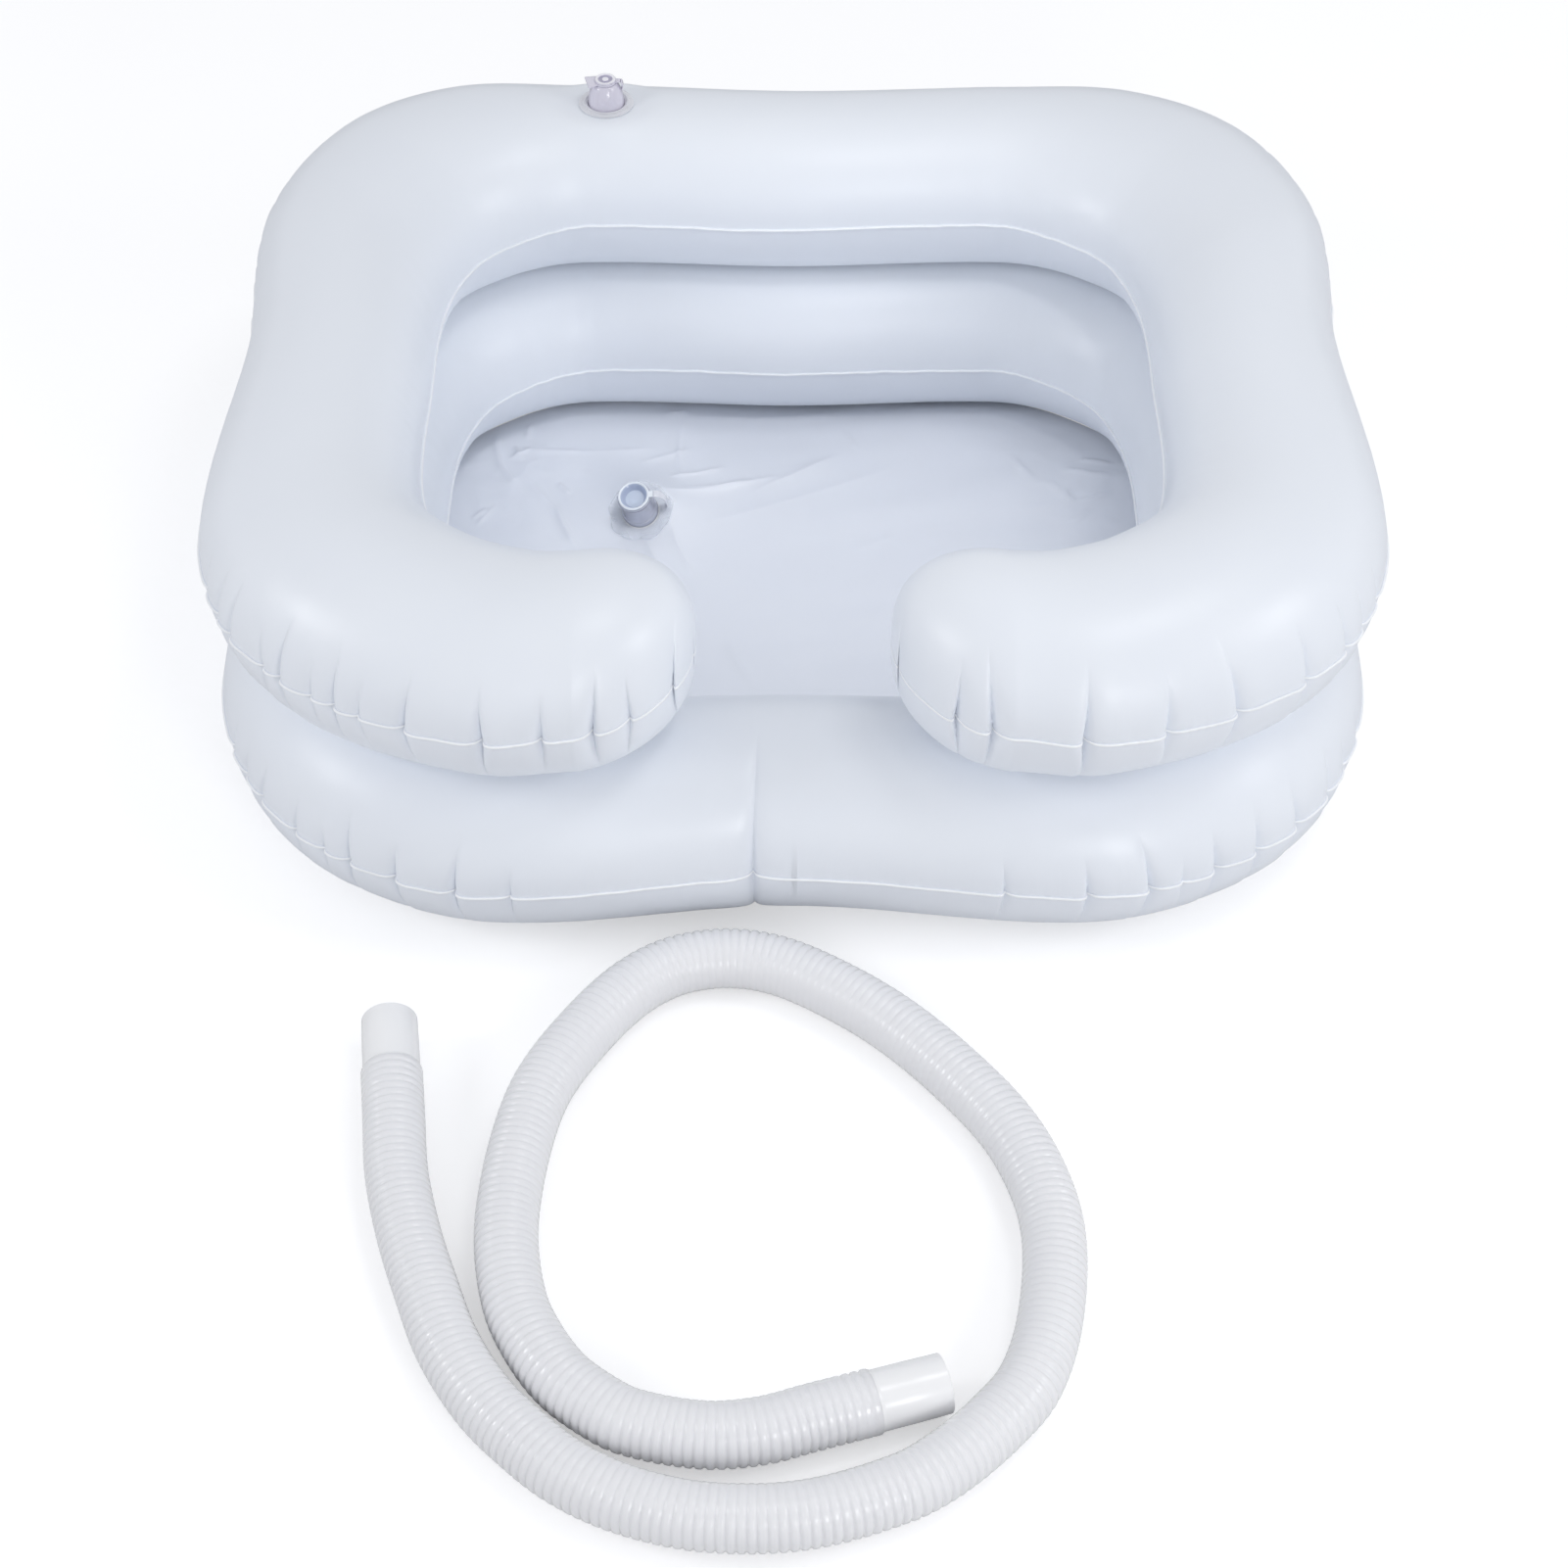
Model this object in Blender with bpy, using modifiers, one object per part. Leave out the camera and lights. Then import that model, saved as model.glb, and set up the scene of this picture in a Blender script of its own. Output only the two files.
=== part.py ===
"""Portable inflatable shampoo basin.

Two welded air rings, a floor sheet, an air valve in each ring, a drain with its plug,
and the loose drain hose. Lengths are in metres and +Z is up. +Y is the back of the
basin and -Y the side where the neck lies. The origin is on the ground, under the
middle of the basin.
"""

import math

import bmesh
import bpy
from mathutils import Matrix, Vector

MM = 0.001

# Basin, over its weld flanges
OVERALL_WIDTH = 0.620
OVERALL_DEPTH = 0.541
WELL_WIDTH = 0.394
WELL_DEPTH = 0.3055
WELL_BACK_SHIFT = 0.0113
TUBE_HEIGHT = 0.1050
CROWN_HEIGHT = 0.0530
NECK_WIDTH = 0.098
LIP_SKEW = 0.0145
SHEET = 0.0004
WELD_FLANGE = 0.0030
FIT_GAP = 0.0003
CONTACT_PRESS = 0.0015
CORNER_SWELL = 0.0035
FOLD_DEPTH = 0.0040
NOTCH_DEPTH = 0.0065
FOLDS_PER_CORNER = 6

# Floor sheet
FLOOR_LIFT = 0.0003
MOUND_REACH = 0.045
WRINKLE = 0.0008

# Air valves
VALVE_X = 0.108
VALVE_PAD_HALF = 0.0185
VALVE_FLANGE_RADIUS = 0.0160
VALVE_FLANGE_THICKNESS = 0.0008
VALVE_RING_RADIUS = 0.0126
VALVE_RING_HEIGHT = 0.0016
STEM_BASE_RADIUS = 0.0106
STEM_TOP_RADIUS = 0.0066
STEM_HEIGHT = 0.0140
STEM_BORE_RADIUS = 0.0033
STEM_MOUTH_RADIUS = 0.0060
STEM_LIP = 0.0015
STEM_LIP_THICKNESS = 0.0009
STEM_CLEARANCE = 0.0004
STOPPER_HEAD_RADIUS = 0.0062
STOPPER_HEAD_THICKNESS = 0.0022
STOPPER_RECESS_RADIUS = 0.0043
STOPPER_RECESS_DEPTH = 0.0012
STOPPER_NUB_RADIUS = 0.0016
STOPPER_PIN_LENGTH = 0.0031
STOPPER_PIN_CLEARANCE = 0.0003
STOPPER_PIN_TAPER = 0.0007
PULL_TAB_LENGTH = 0.0085
PULL_TAB_WIDTH = 0.0100
FLAP_THICKNESS = 0.0008
FLAP_OVERLAP = 0.0007

# Strap of a stopper or plug
STRAP_WIDTH = 0.0040
STRAP_THICKNESS = 0.0008
STRAP_REACH = 0.0026
STRAP_BULGE = 0.0009
DRAIN_STRAP_BULGE = 0.0050

# Drain
DRAIN_X = -0.0900
DRAIN_Y = 0.0860
DRAIN_TILT = math.radians(25)
DRAIN_TILT_TOWARDS = math.radians(246)
DRAIN_FLANGE_RADIUS = 0.0192
DRAIN_FLANGE_THICKNESS = 0.0009
DRAIN_COLLAR_RADIUS = 0.0134
DRAIN_COLLAR_HEIGHT = 0.0030
DRAIN_SPOUT_RADIUS = 0.0098
DRAIN_SPOUT_HEIGHT = 0.0195
DRAIN_BORE_RADIUS = 0.0084
DRAIN_WALL = 0.0012
DRAIN_FOOT_RADIUS = 0.0106
DRAIN_HOLE_CLEARANCE = 0.0008
PLUG_RIM_RADIUS = 0.0094
PLUG_RIM_THICKNESS = 0.0012
PLUG_DEPTH = 0.0041
PLUG_CUP_RADIUS = 0.0061
PLUG_CLEARANCE = 0.0003
PLUG_TAPER = 0.0010

# Drain hose
HOSE_DIAMETER = 0.0310
HOSE_RIB_DEPTH = 0.0011
HOSE_BORE = 0.0270
HOSE_RIBS = 120
HOSE_BORE_POINTS = 72
CUFF_DIAMETER = 0.0288
CUFF_WALL = 0.0016
CUFF_LENGTH = 0.0340
HOSE_LIFT = 0.0003

CUT_OVERRUN = 0.0040
TURN_STEPS = 20
DRAIN_TURN_STEPS = 24
MERGE_DISTANCE = 0.00001
SHARP_ANGLE = math.radians(35)

# Heights on the stem, as shares of its height, and how late its side rounds in
STEM_SIDE_shares = (0.90, 0.75, 0.55, 0.30)
STEM_ROUNDING = 2.2
BORE_share = 0.45
STRAP_FOOT_share = 0.72

# Outline of the pull tab: how far out along it, and half its width, as shares
PULL_TAB_shares = ((0.0, 0.25), (0.85, 0.50), (1.0, 0.40))

# Half of a ring seen from above, from the back middle round to the front, as shares of
# the half sizes: outer flange x and y, then inner flange x and y.
SHARED_PLAN_shares = (
    (0.000, 0.978, 0.000, 0.974),
    (0.403, 0.992, 0.599, 1.000),
    (0.661, 0.989, 0.772, 0.915),
    (0.871, 0.850, 0.914, 0.745),
    (0.981, 0.573, 0.987, 0.450),
    (0.974, 0.148, 1.000, -0.041),
    (1.000, -0.425, 0.995, -0.532),
)
LOWER_FRONT_shares = (
    (0.919, -0.710, 0.924, -0.807),
    (0.768, -0.891, 0.761, -0.964),
    (0.516, -1.000, 0.584, -1.000),
    (0.000, -0.952, 0.000, -0.993),
)
UPPER_FRONT_shares = (
    (0.923, -0.693, 0.929, -0.815),
    (0.774, -0.867, 0.775, -0.985),
    (0.523, -0.985, 0.635, -1.030),
    (0.348, -0.976, 0.548, -1.033),
    (0.160, -0.968, 0.250, -1.035),
)
CORNER_PLACES = (2.6, 7.6)
CORNER_SPAN = 1.5
PLAIN_PLACES = (0.0, 1.5, 2.0, 2.5, 3.0, 3.6, 4.3, 5.2, 6.0, 9.35, 9.65)
FIRST_FOLD = 6.3
LAST_FOLD = 9.0
LIP_TURNS = (0.25, 0.50, 0.75)
BACK_HALFWAY = 0.75
BARE_share = 0.9
NOTCH_SIDE = -1
NOTCH_SHIFT = 0.12

# Rings of points on the mound of the floor sheet, from its rim to the drain
MOUND_shares = (1.0, 0.6, 0.3, 0.0)

# Angles round a tube's section, from the seam on the well side to the outer seam
FREE_ANGLES = (24, 47, 71.5, 90, 108.5, 133, 156)
PRESSED_ANGLES = (25, 50, 90, 116.5, 135, 153.5)
UNDER_ANGLES = (25, 50, 90, 130, 155)

# Centre line of the hose between its two straight ends, as it lies in front of the basin
HOSE_ROUTE = (
    (-0.197, -0.385), (-0.193, -0.418), (-0.184, -0.455), (-0.174, -0.485), (-0.161, -0.519),
    (-0.143, -0.549), (-0.125, -0.569), (-0.103, -0.588), (-0.076, -0.602), (-0.040, -0.611),
    (0.004, -0.610), (0.048, -0.596), (0.070, -0.582), (0.092, -0.561), (0.108, -0.540),
    (0.119, -0.507), (0.124, -0.462), (0.120, -0.429), (0.106, -0.392), (0.081, -0.356),
    (0.051, -0.323), (0.022, -0.300), (-0.008, -0.283), (-0.035, -0.278), (-0.062, -0.284),
    (-0.085, -0.301), (-0.108, -0.332), (-0.124, -0.362), (-0.132, -0.391), (-0.137, -0.430),
    (-0.137, -0.462), (-0.131, -0.495), (-0.122, -0.516), (-0.108, -0.537), (-0.092, -0.551),
    (-0.075, -0.561), (-0.042, -0.568), (-0.016, -0.566), (0.007, -0.559),
)


def clear_scene():
    """Remove every object of the file that the script runs in."""
    for thing in list(bpy.data.objects):
        bpy.data.objects.remove(thing, do_unlink=True)


def make_collection(name):
    """Make a collection in the scene, or empty and reuse the one of that name."""
    group = bpy.data.collections.get(name) or bpy.data.collections.new(name)
    if group.name not in bpy.context.scene.collection.children:
        bpy.context.scene.collection.children.link(group)
    return group


def make_material(name, colour, roughness, alpha=1.0):
    """Make a plain plastic material."""
    material = bpy.data.materials.new(name)
    material.use_nodes = True
    shader = material.node_tree.nodes["Principled BSDF"]
    shader.inputs["Base Color"].default_value = (*colour, 1.0)
    shader.inputs["Roughness"].default_value = roughness
    shader.inputs["Metallic"].default_value = 0.0
    shader.inputs["Alpha"].default_value = alpha
    return material


def make_object(name, mesh, group, material=None, parent=None):
    """Put a mesh in the scene as a named object."""
    thing = bpy.data.objects.new(name, mesh)
    group.objects.link(thing)
    if material:
        mesh.materials.clear()
        mesh.materials.append(material)
    if parent:
        thing.parent = parent
    return thing


def mesh_from_bmesh(name, source):
    """Turn a bmesh into a mesh and free it."""
    mesh = bpy.data.meshes.new(name)
    source.to_mesh(mesh)
    source.free()
    return mesh


def shade(thing):
    """Shade an object smooth, with sharp edges kept."""
    thing.data.shade_smooth()
    thing.data.set_sharp_from_angle(angle=SHARP_ANGLE)


def make_empty(name, group, matrix, parent=None):
    """Make an empty for an axis or a frame, placed in its parent's frame."""
    empty = bpy.data.objects.new(name, None)
    group.objects.link(empty)
    empty.empty_display_size = VALVE_RING_RADIUS
    empty.parent = parent
    empty.matrix_local = matrix
    return empty


def evaluated_mesh(name, thing):
    """Turn an object with a modifier, or a curve, into a welded mesh and remove it."""
    bpy.context.view_layer.update()
    seen = thing.evaluated_get(bpy.context.evaluated_depsgraph_get())
    source = bmesh.new()
    source.from_mesh(bpy.data.meshes.new_from_object(seen))
    bmesh.ops.remove_doubles(source, verts=source.verts, dist=MERGE_DISTANCE)
    bpy.data.objects.remove(thing, do_unlink=True)
    return mesh_from_bmesh(name, source)


def turned_mesh(name, profile, group, steps=TURN_STEPS):
    """Turn a profile of (radius, height) pairs, from its outer top down, about local Z."""
    count = len(profile)
    edges = [(number, number + 1) for number in range(count - 1)]
    if profile[0][0] > 0.0:
        edges.append((count - 1, 0))
    outline = bpy.data.meshes.new(name + "_profile")
    outline.from_pydata([(radius, 0.0, height) for radius, height in profile], edges, [])
    thing = make_object(name + "_profile", outline, group)
    turn = thing.modifiers.new("Turn", "SCREW")
    turn.axis = "Z"
    turn.angle = math.tau
    turn.steps = steps
    turn.render_steps = steps
    turn.use_merge_vertices = True
    turn.merge_threshold = MERGE_DISTANCE
    return evaluated_mesh(name, thing)


def grid_mesh(name, rows, closed, upward):
    """Make an open surface through rows of points, welded where points fall together."""
    source = bmesh.new()
    grid = [[source.verts.new(point) for point in row] for row in rows]
    following = grid[1:] + ([grid[0]] if closed else [])
    for row, after in zip(grid, following):
        for near, far, far_after, near_after in zip(row, row[1:], after[1:], after):
            source.faces.new((near, far, far_after, near_after))
    bmesh.ops.remove_doubles(source, verts=source.verts, dist=SHEET * 0.02)
    bmesh.ops.dissolve_degenerate(source, edges=source.edges, dist=SHEET * 0.02)
    source.normal_update()
    facing = sum(face.normal.z * face.calc_area() for face in source.faces)
    if (facing > 0) != upward:
        bmesh.ops.reverse_faces(source, faces=source.faces)
    return mesh_from_bmesh(name, source)


def add_thickness(thing, thickness, offset=1.0):
    """Give an open surface its thickness, on the side that its faces point to."""
    solid = thing.modifiers.new("Thickness", "SOLIDIFY")
    solid.thickness = thickness
    solid.offset = offset
    solid.use_even_offset = True
    solid.use_quality_normals = True


def cut_with(thing, cutter, operation="DIFFERENCE"):
    """Add a Boolean with a cutter object, which is not part of the model."""
    cut = thing.modifiers.new(cutter.name, "BOOLEAN")
    cut.operation = operation
    cut.solver = "EXACT"
    cut.object = cutter
    cutter.hide_render = True
    cutter.display_type = "WIRE"


def cylinder_cutter(name, radius, low, high, group, parent):
    """Make a round cutter between two heights of its parent's frame."""
    source = bmesh.new()
    bmesh.ops.create_cone(source, cap_ends=True, segments=TURN_STEPS, radius1=radius,
                          radius2=radius, depth=high - low)
    bmesh.ops.translate(source, verts=source.verts, vec=(0, 0, (high + low) / 2))
    return make_object(name, mesh_from_bmesh(name, source), group, parent=parent)


def smooth_point(points, position):
    """Read a smooth curve through the points, counted in points from the first.

    The slope at each point follows its neighbours' distances, so uneven spacing does
    not make the curve swing out.
    """
    last = len(points) - 1
    index = min(max(int(math.floor(position)), 0), last - 1)
    share = position - index
    before = points[max(index - 1, 0)]
    start, end = points[index], points[index + 1]
    after = points[min(index + 2, last)]
    length = (end - start).length
    slope_start = slope_at(before, start, end) * length
    slope_end = slope_at(start, end, after) * length
    square, cube = share ** 2, share ** 3
    return (start * (2 * cube - 3 * square + 1) + slope_start * (cube - 2 * square + share)
            + end * (3 * square - 2 * cube) + slope_end * (cube - square))


def slope_at(before, here, after):
    """Slope of a smooth curve at a point, from the points before and after it."""
    reach = (here - before).length + (after - here).length
    return (after - before) / reach


class Ring:
    """Seams of one air ring seen from above, and the section of its tube."""

    def __init__(self, front_shares, seam_height, has_lips):
        """Work out the outer and inner flange points of the right half."""
        self.seam_height = seam_height
        self.has_lips = has_lips
        shares = SHARED_PLAN_shares + front_shares
        self.outer = [Vector((x * OVERALL_WIDTH / 2, y * OVERALL_DEPTH / 2))
                      for x, y, _, _ in shares]
        self.inner = [Vector((x * WELL_WIDTH / 2, WELL_BACK_SHIFT + y * WELL_DEPTH / 2))
                      for _, _, x, y in shares]
        self.front = len(shares) - (2 if has_lips else 1)
        for line in (self.outer, self.inner):
            line.insert(0, Vector((-line[1].x, line[1].y)))
            if not has_lips:
                line.append(Vector((-line[-2].x, line[-2].y)))

    def rung(self, place, side):
        """Inner and outer flange point of the line across the tube at a place."""
        ends = []
        for line in (self.inner, self.outer):
            point = smooth_point(line, place + 1)
            ends.append(Vector((point.x * side, point.y)))
        return ends

    def lip_rung(self, turn, side):
        """Line across a lip where it rounds off, with its share of the full section."""
        inner, outer = self.rung(self.front, side)
        angle = turn * math.pi / 2
        middle = (inner + outer) / 2
        half = (outer - inner) / 2 * math.cos(angle) ** 0.9
        tip = Vector((NECK_WIDTH / 2 * side, middle.y + LIP_SKEW))
        centre = middle.lerp(tip, math.sin(angle))
        return centre - half, centre + half, math.cos(angle) ** 0.7

    def corner_weight(self, place):
        """How much of the corner's swell a place has, from 0 to 1."""
        nearest = min(abs(place - corner) for corner in CORNER_PLACES)
        return max(0.0, 1.0 - (nearest / CORNER_SPAN) ** 2) ** 2

    def stations(self):
        """Places round the right half, each with its fold depth as a share."""
        plain = [(place, 0) for place in PLAIN_PLACES if place < self.front]
        folds = []
        last = min(LAST_FOLD, self.front)
        pitch = (last - FIRST_FOLD) / (FOLDS_PER_CORNER - 0.5)
        for number in range(FOLDS_PER_CORNER):
            place = FIRST_FOLD + number * pitch
            folds += [(place, 1), (place + pitch / 2, 0)]
        return plain + folds

    def half_places(self, side, pad=None):
        """Places round one half, with the fold's depth and the valve's pad at each."""
        places = [(place, fold * FOLD_DEPTH, None) for place, fold in self.stations()]
        if pad and pad["side"] == side:
            places += [(place, 0.0, pad["columns"]) for place in pad["places"]]
        else:
            places.append((BACK_HALFWAY, 0.0, None))
        if not self.has_lips and side == NOTCH_SIDE:
            places.append((self.front - NOTCH_SHIFT, NOTCH_DEPTH, None))
            places.append((self.front - 2 * NOTCH_SHIFT, 0.0, None))
        return sorted(places, key=lambda entry: entry[0])


def section(half_width, crown, flat_height, angles, fold, pad=None):
    """Points across a tube, as (distance from the middle, height over the seam)."""
    points = [(-half_width - WELD_FLANGE, 0.0), (-half_width, 0.0)]
    turns = list(angles)
    if crown > flat_height:
        edge = math.degrees(math.asin(flat_height / crown))
        turns = [turn for turn in turns if turn < edge or turn > 180 - edge] + [edge, 180 - edge]
        turns += [90] * (len(angles) + 2 - len(turns))
        turns.sort()
    for turn in turns:
        across = -half_width * math.cos(math.radians(turn))
        points.append((across, min(crown * math.sin(math.radians(turn)), flat_height)))
    points += [(half_width, 0.0), (half_width + WELD_FLANGE, 0.0)]
    if pad:
        low, high = pad
        ends = [points[low], points[high]]
        for index in range(low + 1, high):
            share = (index - low) / (high - low)
            points[index] = tuple(a + (b - a) * share for a, b in zip(*ends))
    folded = []
    for across, height in points:
        pull = fold * max(across / half_width, 0.0) ** 3
        folded.append((across - pull, height))
    return folded


def sheet_rows(ring, upward, angles, flat_height, crown_of, pad=None):
    """Rows of points for one sheet of a ring, inner flange to outer flange."""
    sign = 1.0 if upward else -1.0
    base = ring.seam_height + sign * FIT_GAP / 2

    def row(ends, crown, fold, flat_pad=None):
        inner, outer = ends
        middle = (inner + outer) / 2
        along = (outer - inner).normalized()
        half_width = (outer - inner).length / 2 - WELD_FLANGE
        points = []
        for across, height in section(half_width, crown, flat_height, angles, fold, flat_pad):
            place = middle + along * across
            points.append(Vector((place.x, place.y, base + sign * height)))
        return points

    halves = {}
    for side in (1, -1):
        rows = []
        for place, fold, flat_pad in ring.half_places(side, pad):
            rows.append(row(ring.rung(place, side), crown_of(place), fold, flat_pad))
        if ring.has_lips:
            crown = crown_of(ring.front)
            for number, turn in enumerate(LIP_TURNS):
                inner, outer, share = ring.lip_rung(turn, side)
                fold = FOLD_DEPTH * share * (number % 2 == 0)
                rows.append(row((inner, outer), crown * share, fold))
            tip, _, _ = ring.lip_rung(1.0, side)
            wall_tip = Vector((tip.x + side * WELD_FLANGE, tip.y, base))
            flange_tip = Vector((tip.x, tip.y, base))
            count = len(rows[0])
            rows.append([flange_tip] + [wall_tip] * (count - 2) + [flange_tip])
        halves[side] = rows
    if not ring.has_lips:
        halves[1].append(row(ring.rung(ring.front, 1), crown_of(ring.front), 0.0))
    return halves[-1][:0:-1] + halves[1]


def place_on_back(ring, distance):
    """Place along the ring's back whose line across has its middle at a distance."""
    low, high = 0.0, 2.0
    for _ in range(40):
        middle = (low + high) / 2
        inner, outer = ring.rung(middle, 1)
        if (inner.x + outer.x) / 2 < distance:
            low = middle
        else:
            high = middle
    return (low + high) / 2


def valve_pad(ring, side, columns):
    """Two lines across the tube, one each side of a valve, with a flat between them."""
    places = [place_on_back(ring, VALVE_X + shift) for shift in (-VALVE_PAD_HALF, VALVE_PAD_HALF)]
    return {"side": side, "places": places, "columns": columns}


def pad_frame(rows_of_pad, columns, outward_gap):
    """Frame on a flat pad: origin at its middle, Z square out of it, X along the ring."""
    low, high = columns
    first, second = rows_of_pad
    corners = [first[low], first[high], second[low], second[high]]
    centre = sum(corners, Vector()) / 4
    along = (corners[2] + corners[3] - corners[0] - corners[1])
    along = along * (1 if along.x > 0 else -1)
    across = corners[1] + corners[3] - corners[0] - corners[2]
    normal = along.cross(across).normalized()
    along.normalize()
    frame = Matrix((along, normal.cross(along), normal)).transposed().to_4x4()
    frame.translation = centre + normal * outward_gap
    return frame


def make_rings(group, cutters, skin):
    """Make the four sheets of the two air rings and return both valve frames."""
    half = TUBE_HEIGHT / 2
    flat = half - SHEET - FIT_GAP / 2
    free = CROWN_HEIGHT + CORNER_SWELL
    lower = Ring(LOWER_FRONT_shares, half, has_lips=False)
    upper = Ring(UPPER_FRONT_shares, half + TUBE_HEIGHT + FIT_GAP, has_lips=True)

    def pressed(ring):
        return lambda place: flat + CONTACT_PRESS + CORNER_SWELL * ring.corner_weight(place)

    def under_neck(place):
        bare = max(0.0, place - (lower.front - 1.0))
        return pressed(lower)(place) - CONTACT_PRESS * bare * BARE_share

    def crowned(place):
        return CROWN_HEIGHT - SHEET + CORNER_SWELL * upper.corner_weight(place)

    upper_pad = valve_pad(upper, -1, (4, 6))
    lower_pad = valve_pad(lower, 1, (7, 9))
    plans = (
        ("lower_ring_bottom_sheet", lower, False, UNDER_ANGLES, flat, pressed(lower), None),
        ("lower_ring_top_sheet", lower, True, PRESSED_ANGLES, flat, under_neck, lower_pad),
        ("upper_ring_bottom_sheet", upper, False, UNDER_ANGLES, flat, pressed(upper), None),
        ("upper_ring_top_sheet", upper, True, FREE_ANGLES, free, crowned, upper_pad),
    )
    frames = {}
    for name, ring, upward, angles, flat_height, crown_of, pad in plans:
        rows = sheet_rows(ring, upward, angles, flat_height, crown_of, pad)
        mesh = grid_mesh(name, rows, closed=not ring.has_lips, upward=upward)
        sheet = make_object(name, mesh, group, skin)
        add_thickness(sheet, SHEET)
        if pad:
            pad_rows = rows_near(rows, pad["side"], ring, pad["places"])
            frame = pad_frame(pad_rows, pad["columns"], SHEET + FIT_GAP)
            frames[name] = make_empty(name.replace("top_sheet", "valve_frame"), group, frame)
            hole = cylinder_cutter(name + "_valve_hole", STEM_BASE_RADIUS + STEM_CLEARANCE,
                                   -SHEET - CUT_OVERRUN, CUT_OVERRUN, cutters, frames[name])
            cut_with(sheet, hole)
        shade(sheet)
    return lower, frames


def rows_near(rows, side, ring, places):
    """Pick the two rows whose ends lie on the given lines across a ring."""
    picked = []
    for place in places:
        inner, _ = ring.rung(place, side)
        picked.append(min(rows, key=lambda row: (row[0].xy - inner).length))
    return picked


def weld_line_point(ring, place, side, height):
    """Point under the lower ring, on the well side, where its skin is at a height."""
    inner, outer = ring.rung(place, side)
    half_width = (outer - inner).length / 2 - WELD_FLANGE
    flat = TUBE_HEIGHT / 2 - SHEET - FIT_GAP / 2
    crown = flat + CONTACT_PRESS + CORNER_SWELL * ring.corner_weight(place)
    points = section(half_width, crown, flat, UNDER_ANGLES, 0.0)
    lowest = next(index for index, point in enumerate(points) if point[1] >= flat)
    low, steep = points[lowest], points[lowest - 1]
    share = height / (low[1] - steep[1])
    across = low[0] + (steep[0] - low[0]) * share
    middle = (inner + outer) / 2
    return middle + (outer - inner).normalized() * across


def make_floor(group, skin, ring):
    """Make the floor sheet, raised in a small mound under the tilted drain."""
    edge_height = FLOOR_LIFT + SHEET + FIT_GAP
    drain = Vector((DRAIN_X, DRAIN_Y))
    tilt_rise = DRAIN_FLANGE_RADIUS * math.sin(DRAIN_TILT)
    centre = Vector((DRAIN_X, DRAIN_Y, FLOOR_LIFT + tilt_rise))
    turn = drain_rotation()
    rows = []
    halves = {side: [weld_line_point(ring, place, side, edge_height)
                     for place, _, _ in ring.half_places(side)] for side in (1, -1)}
    halves[1].append(weld_line_point(ring, ring.front, 1, edge_height))
    outline = halves[-1][:0:-1] + halves[1]
    for number, edge in enumerate(outline):
        away = edge - drain
        bearing = math.atan2(away.y, away.x)
        local = Vector((math.cos(bearing), math.sin(bearing), 0.0))
        flange_edge = centre + turn @ (local * DRAIN_FLANGE_RADIUS)
        hole_edge = centre + turn @ (local * (DRAIN_FOOT_RADIUS + DRAIN_HOLE_CLEARANCE))
        row = [Vector((edge.x, edge.y, FLOOR_LIFT))]
        out = (edge - flange_edge.xy)
        for share in MOUND_shares:
            spot = flange_edge.xy + out.normalized() * MOUND_REACH * share
            fall = (1.0 - share) ** 2
            ridge = WRINKLE * (number % 2) * 4 * share * (1.0 - share)
            height = FLOOR_LIFT + (flange_edge.z - FLOOR_LIFT) * fall + ridge
            row.append(Vector((spot.x, spot.y, height)))
        row.append(hole_edge)
        rows.append(row)
    mesh = grid_mesh("floor_sheet", rows, closed=True, upward=True)
    floor = make_object("floor_sheet", mesh, group, skin)
    add_thickness(floor, SHEET)
    shade(floor)
    frame = turn.to_4x4()
    frame.translation = centre + turn @ Vector((0, 0, SHEET + FIT_GAP))
    return make_empty("drain_frame", group, frame)


def drain_rotation():
    """Rotation that leans the drain over towards the front left of the well."""
    axis = Vector((-math.sin(DRAIN_TILT_TOWARDS), math.cos(DRAIN_TILT_TOWARDS), 0.0))
    return Matrix.Rotation(DRAIN_TILT, 3, axis)


def make_band(name, path, width, thickness, group, material, parent):
    """Make a bent strap from its side view, a list of (x, z) points."""
    rows = [[Vector((x, -width / 2, z)), Vector((x, width / 2, z))] for x, z in path]
    mesh = grid_mesh(name, rows, closed=False, upward=True)
    band = make_object(name, mesh, group, material, parent)
    add_thickness(band, thickness, offset=0.0)
    return band


def strap_path(foot, pivot, bulge):
    """Side view of a strap that loops out from its foot and back in to the pivot."""
    points = []
    for number in range(7):
        share = number / 6
        x = foot[0] + (pivot[0] - foot[0]) * share + bulge * math.sin(share * math.pi)
        z = foot[1] + (pivot[1] - foot[1]) * (1 - math.cos(share * math.pi)) / 2
        points.append((x, z))
    return points


def box_object(name, inner_end, pivot, group, parent):
    """Make the stub that runs from a stopper's head to just short of its strap."""
    outer_end = pivot[0] - STRAP_THICKNESS / 2 - FIT_GAP
    source = bmesh.new()
    bmesh.ops.create_cube(source, size=1.0)
    size = Vector((outer_end - inner_end, STRAP_WIDTH, STRAP_THICKNESS))
    bmesh.ops.scale(source, verts=source.verts, vec=size)
    stub = make_object(name, mesh_from_bmesh(name, source), group, parent=parent)
    stub.location = ((inner_end + outer_end) / 2, 0, pivot[1])
    return stub


def outline_mesh(name, outline, thickness, group):
    """Give a flat outline of (x, y) points its thickness, half to each side."""
    curve = bpy.data.curves.new(name + "_outline", "CURVE")
    curve.dimensions = "2D"
    curve.fill_mode = "BOTH"
    curve.extrude = thickness / 2
    spline = curve.splines.new("POLY")
    spline.points.add(len(outline) - 1)
    for control, (x, y) in zip(spline.points, outline):
        control.co = (x, y, 0.0, 1.0)
    spline.use_cyclic_u = True
    flat = bpy.data.objects.new(name + "_outline", curve)
    group.objects.link(flat)
    return evaluated_mesh(name, flat)


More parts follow.
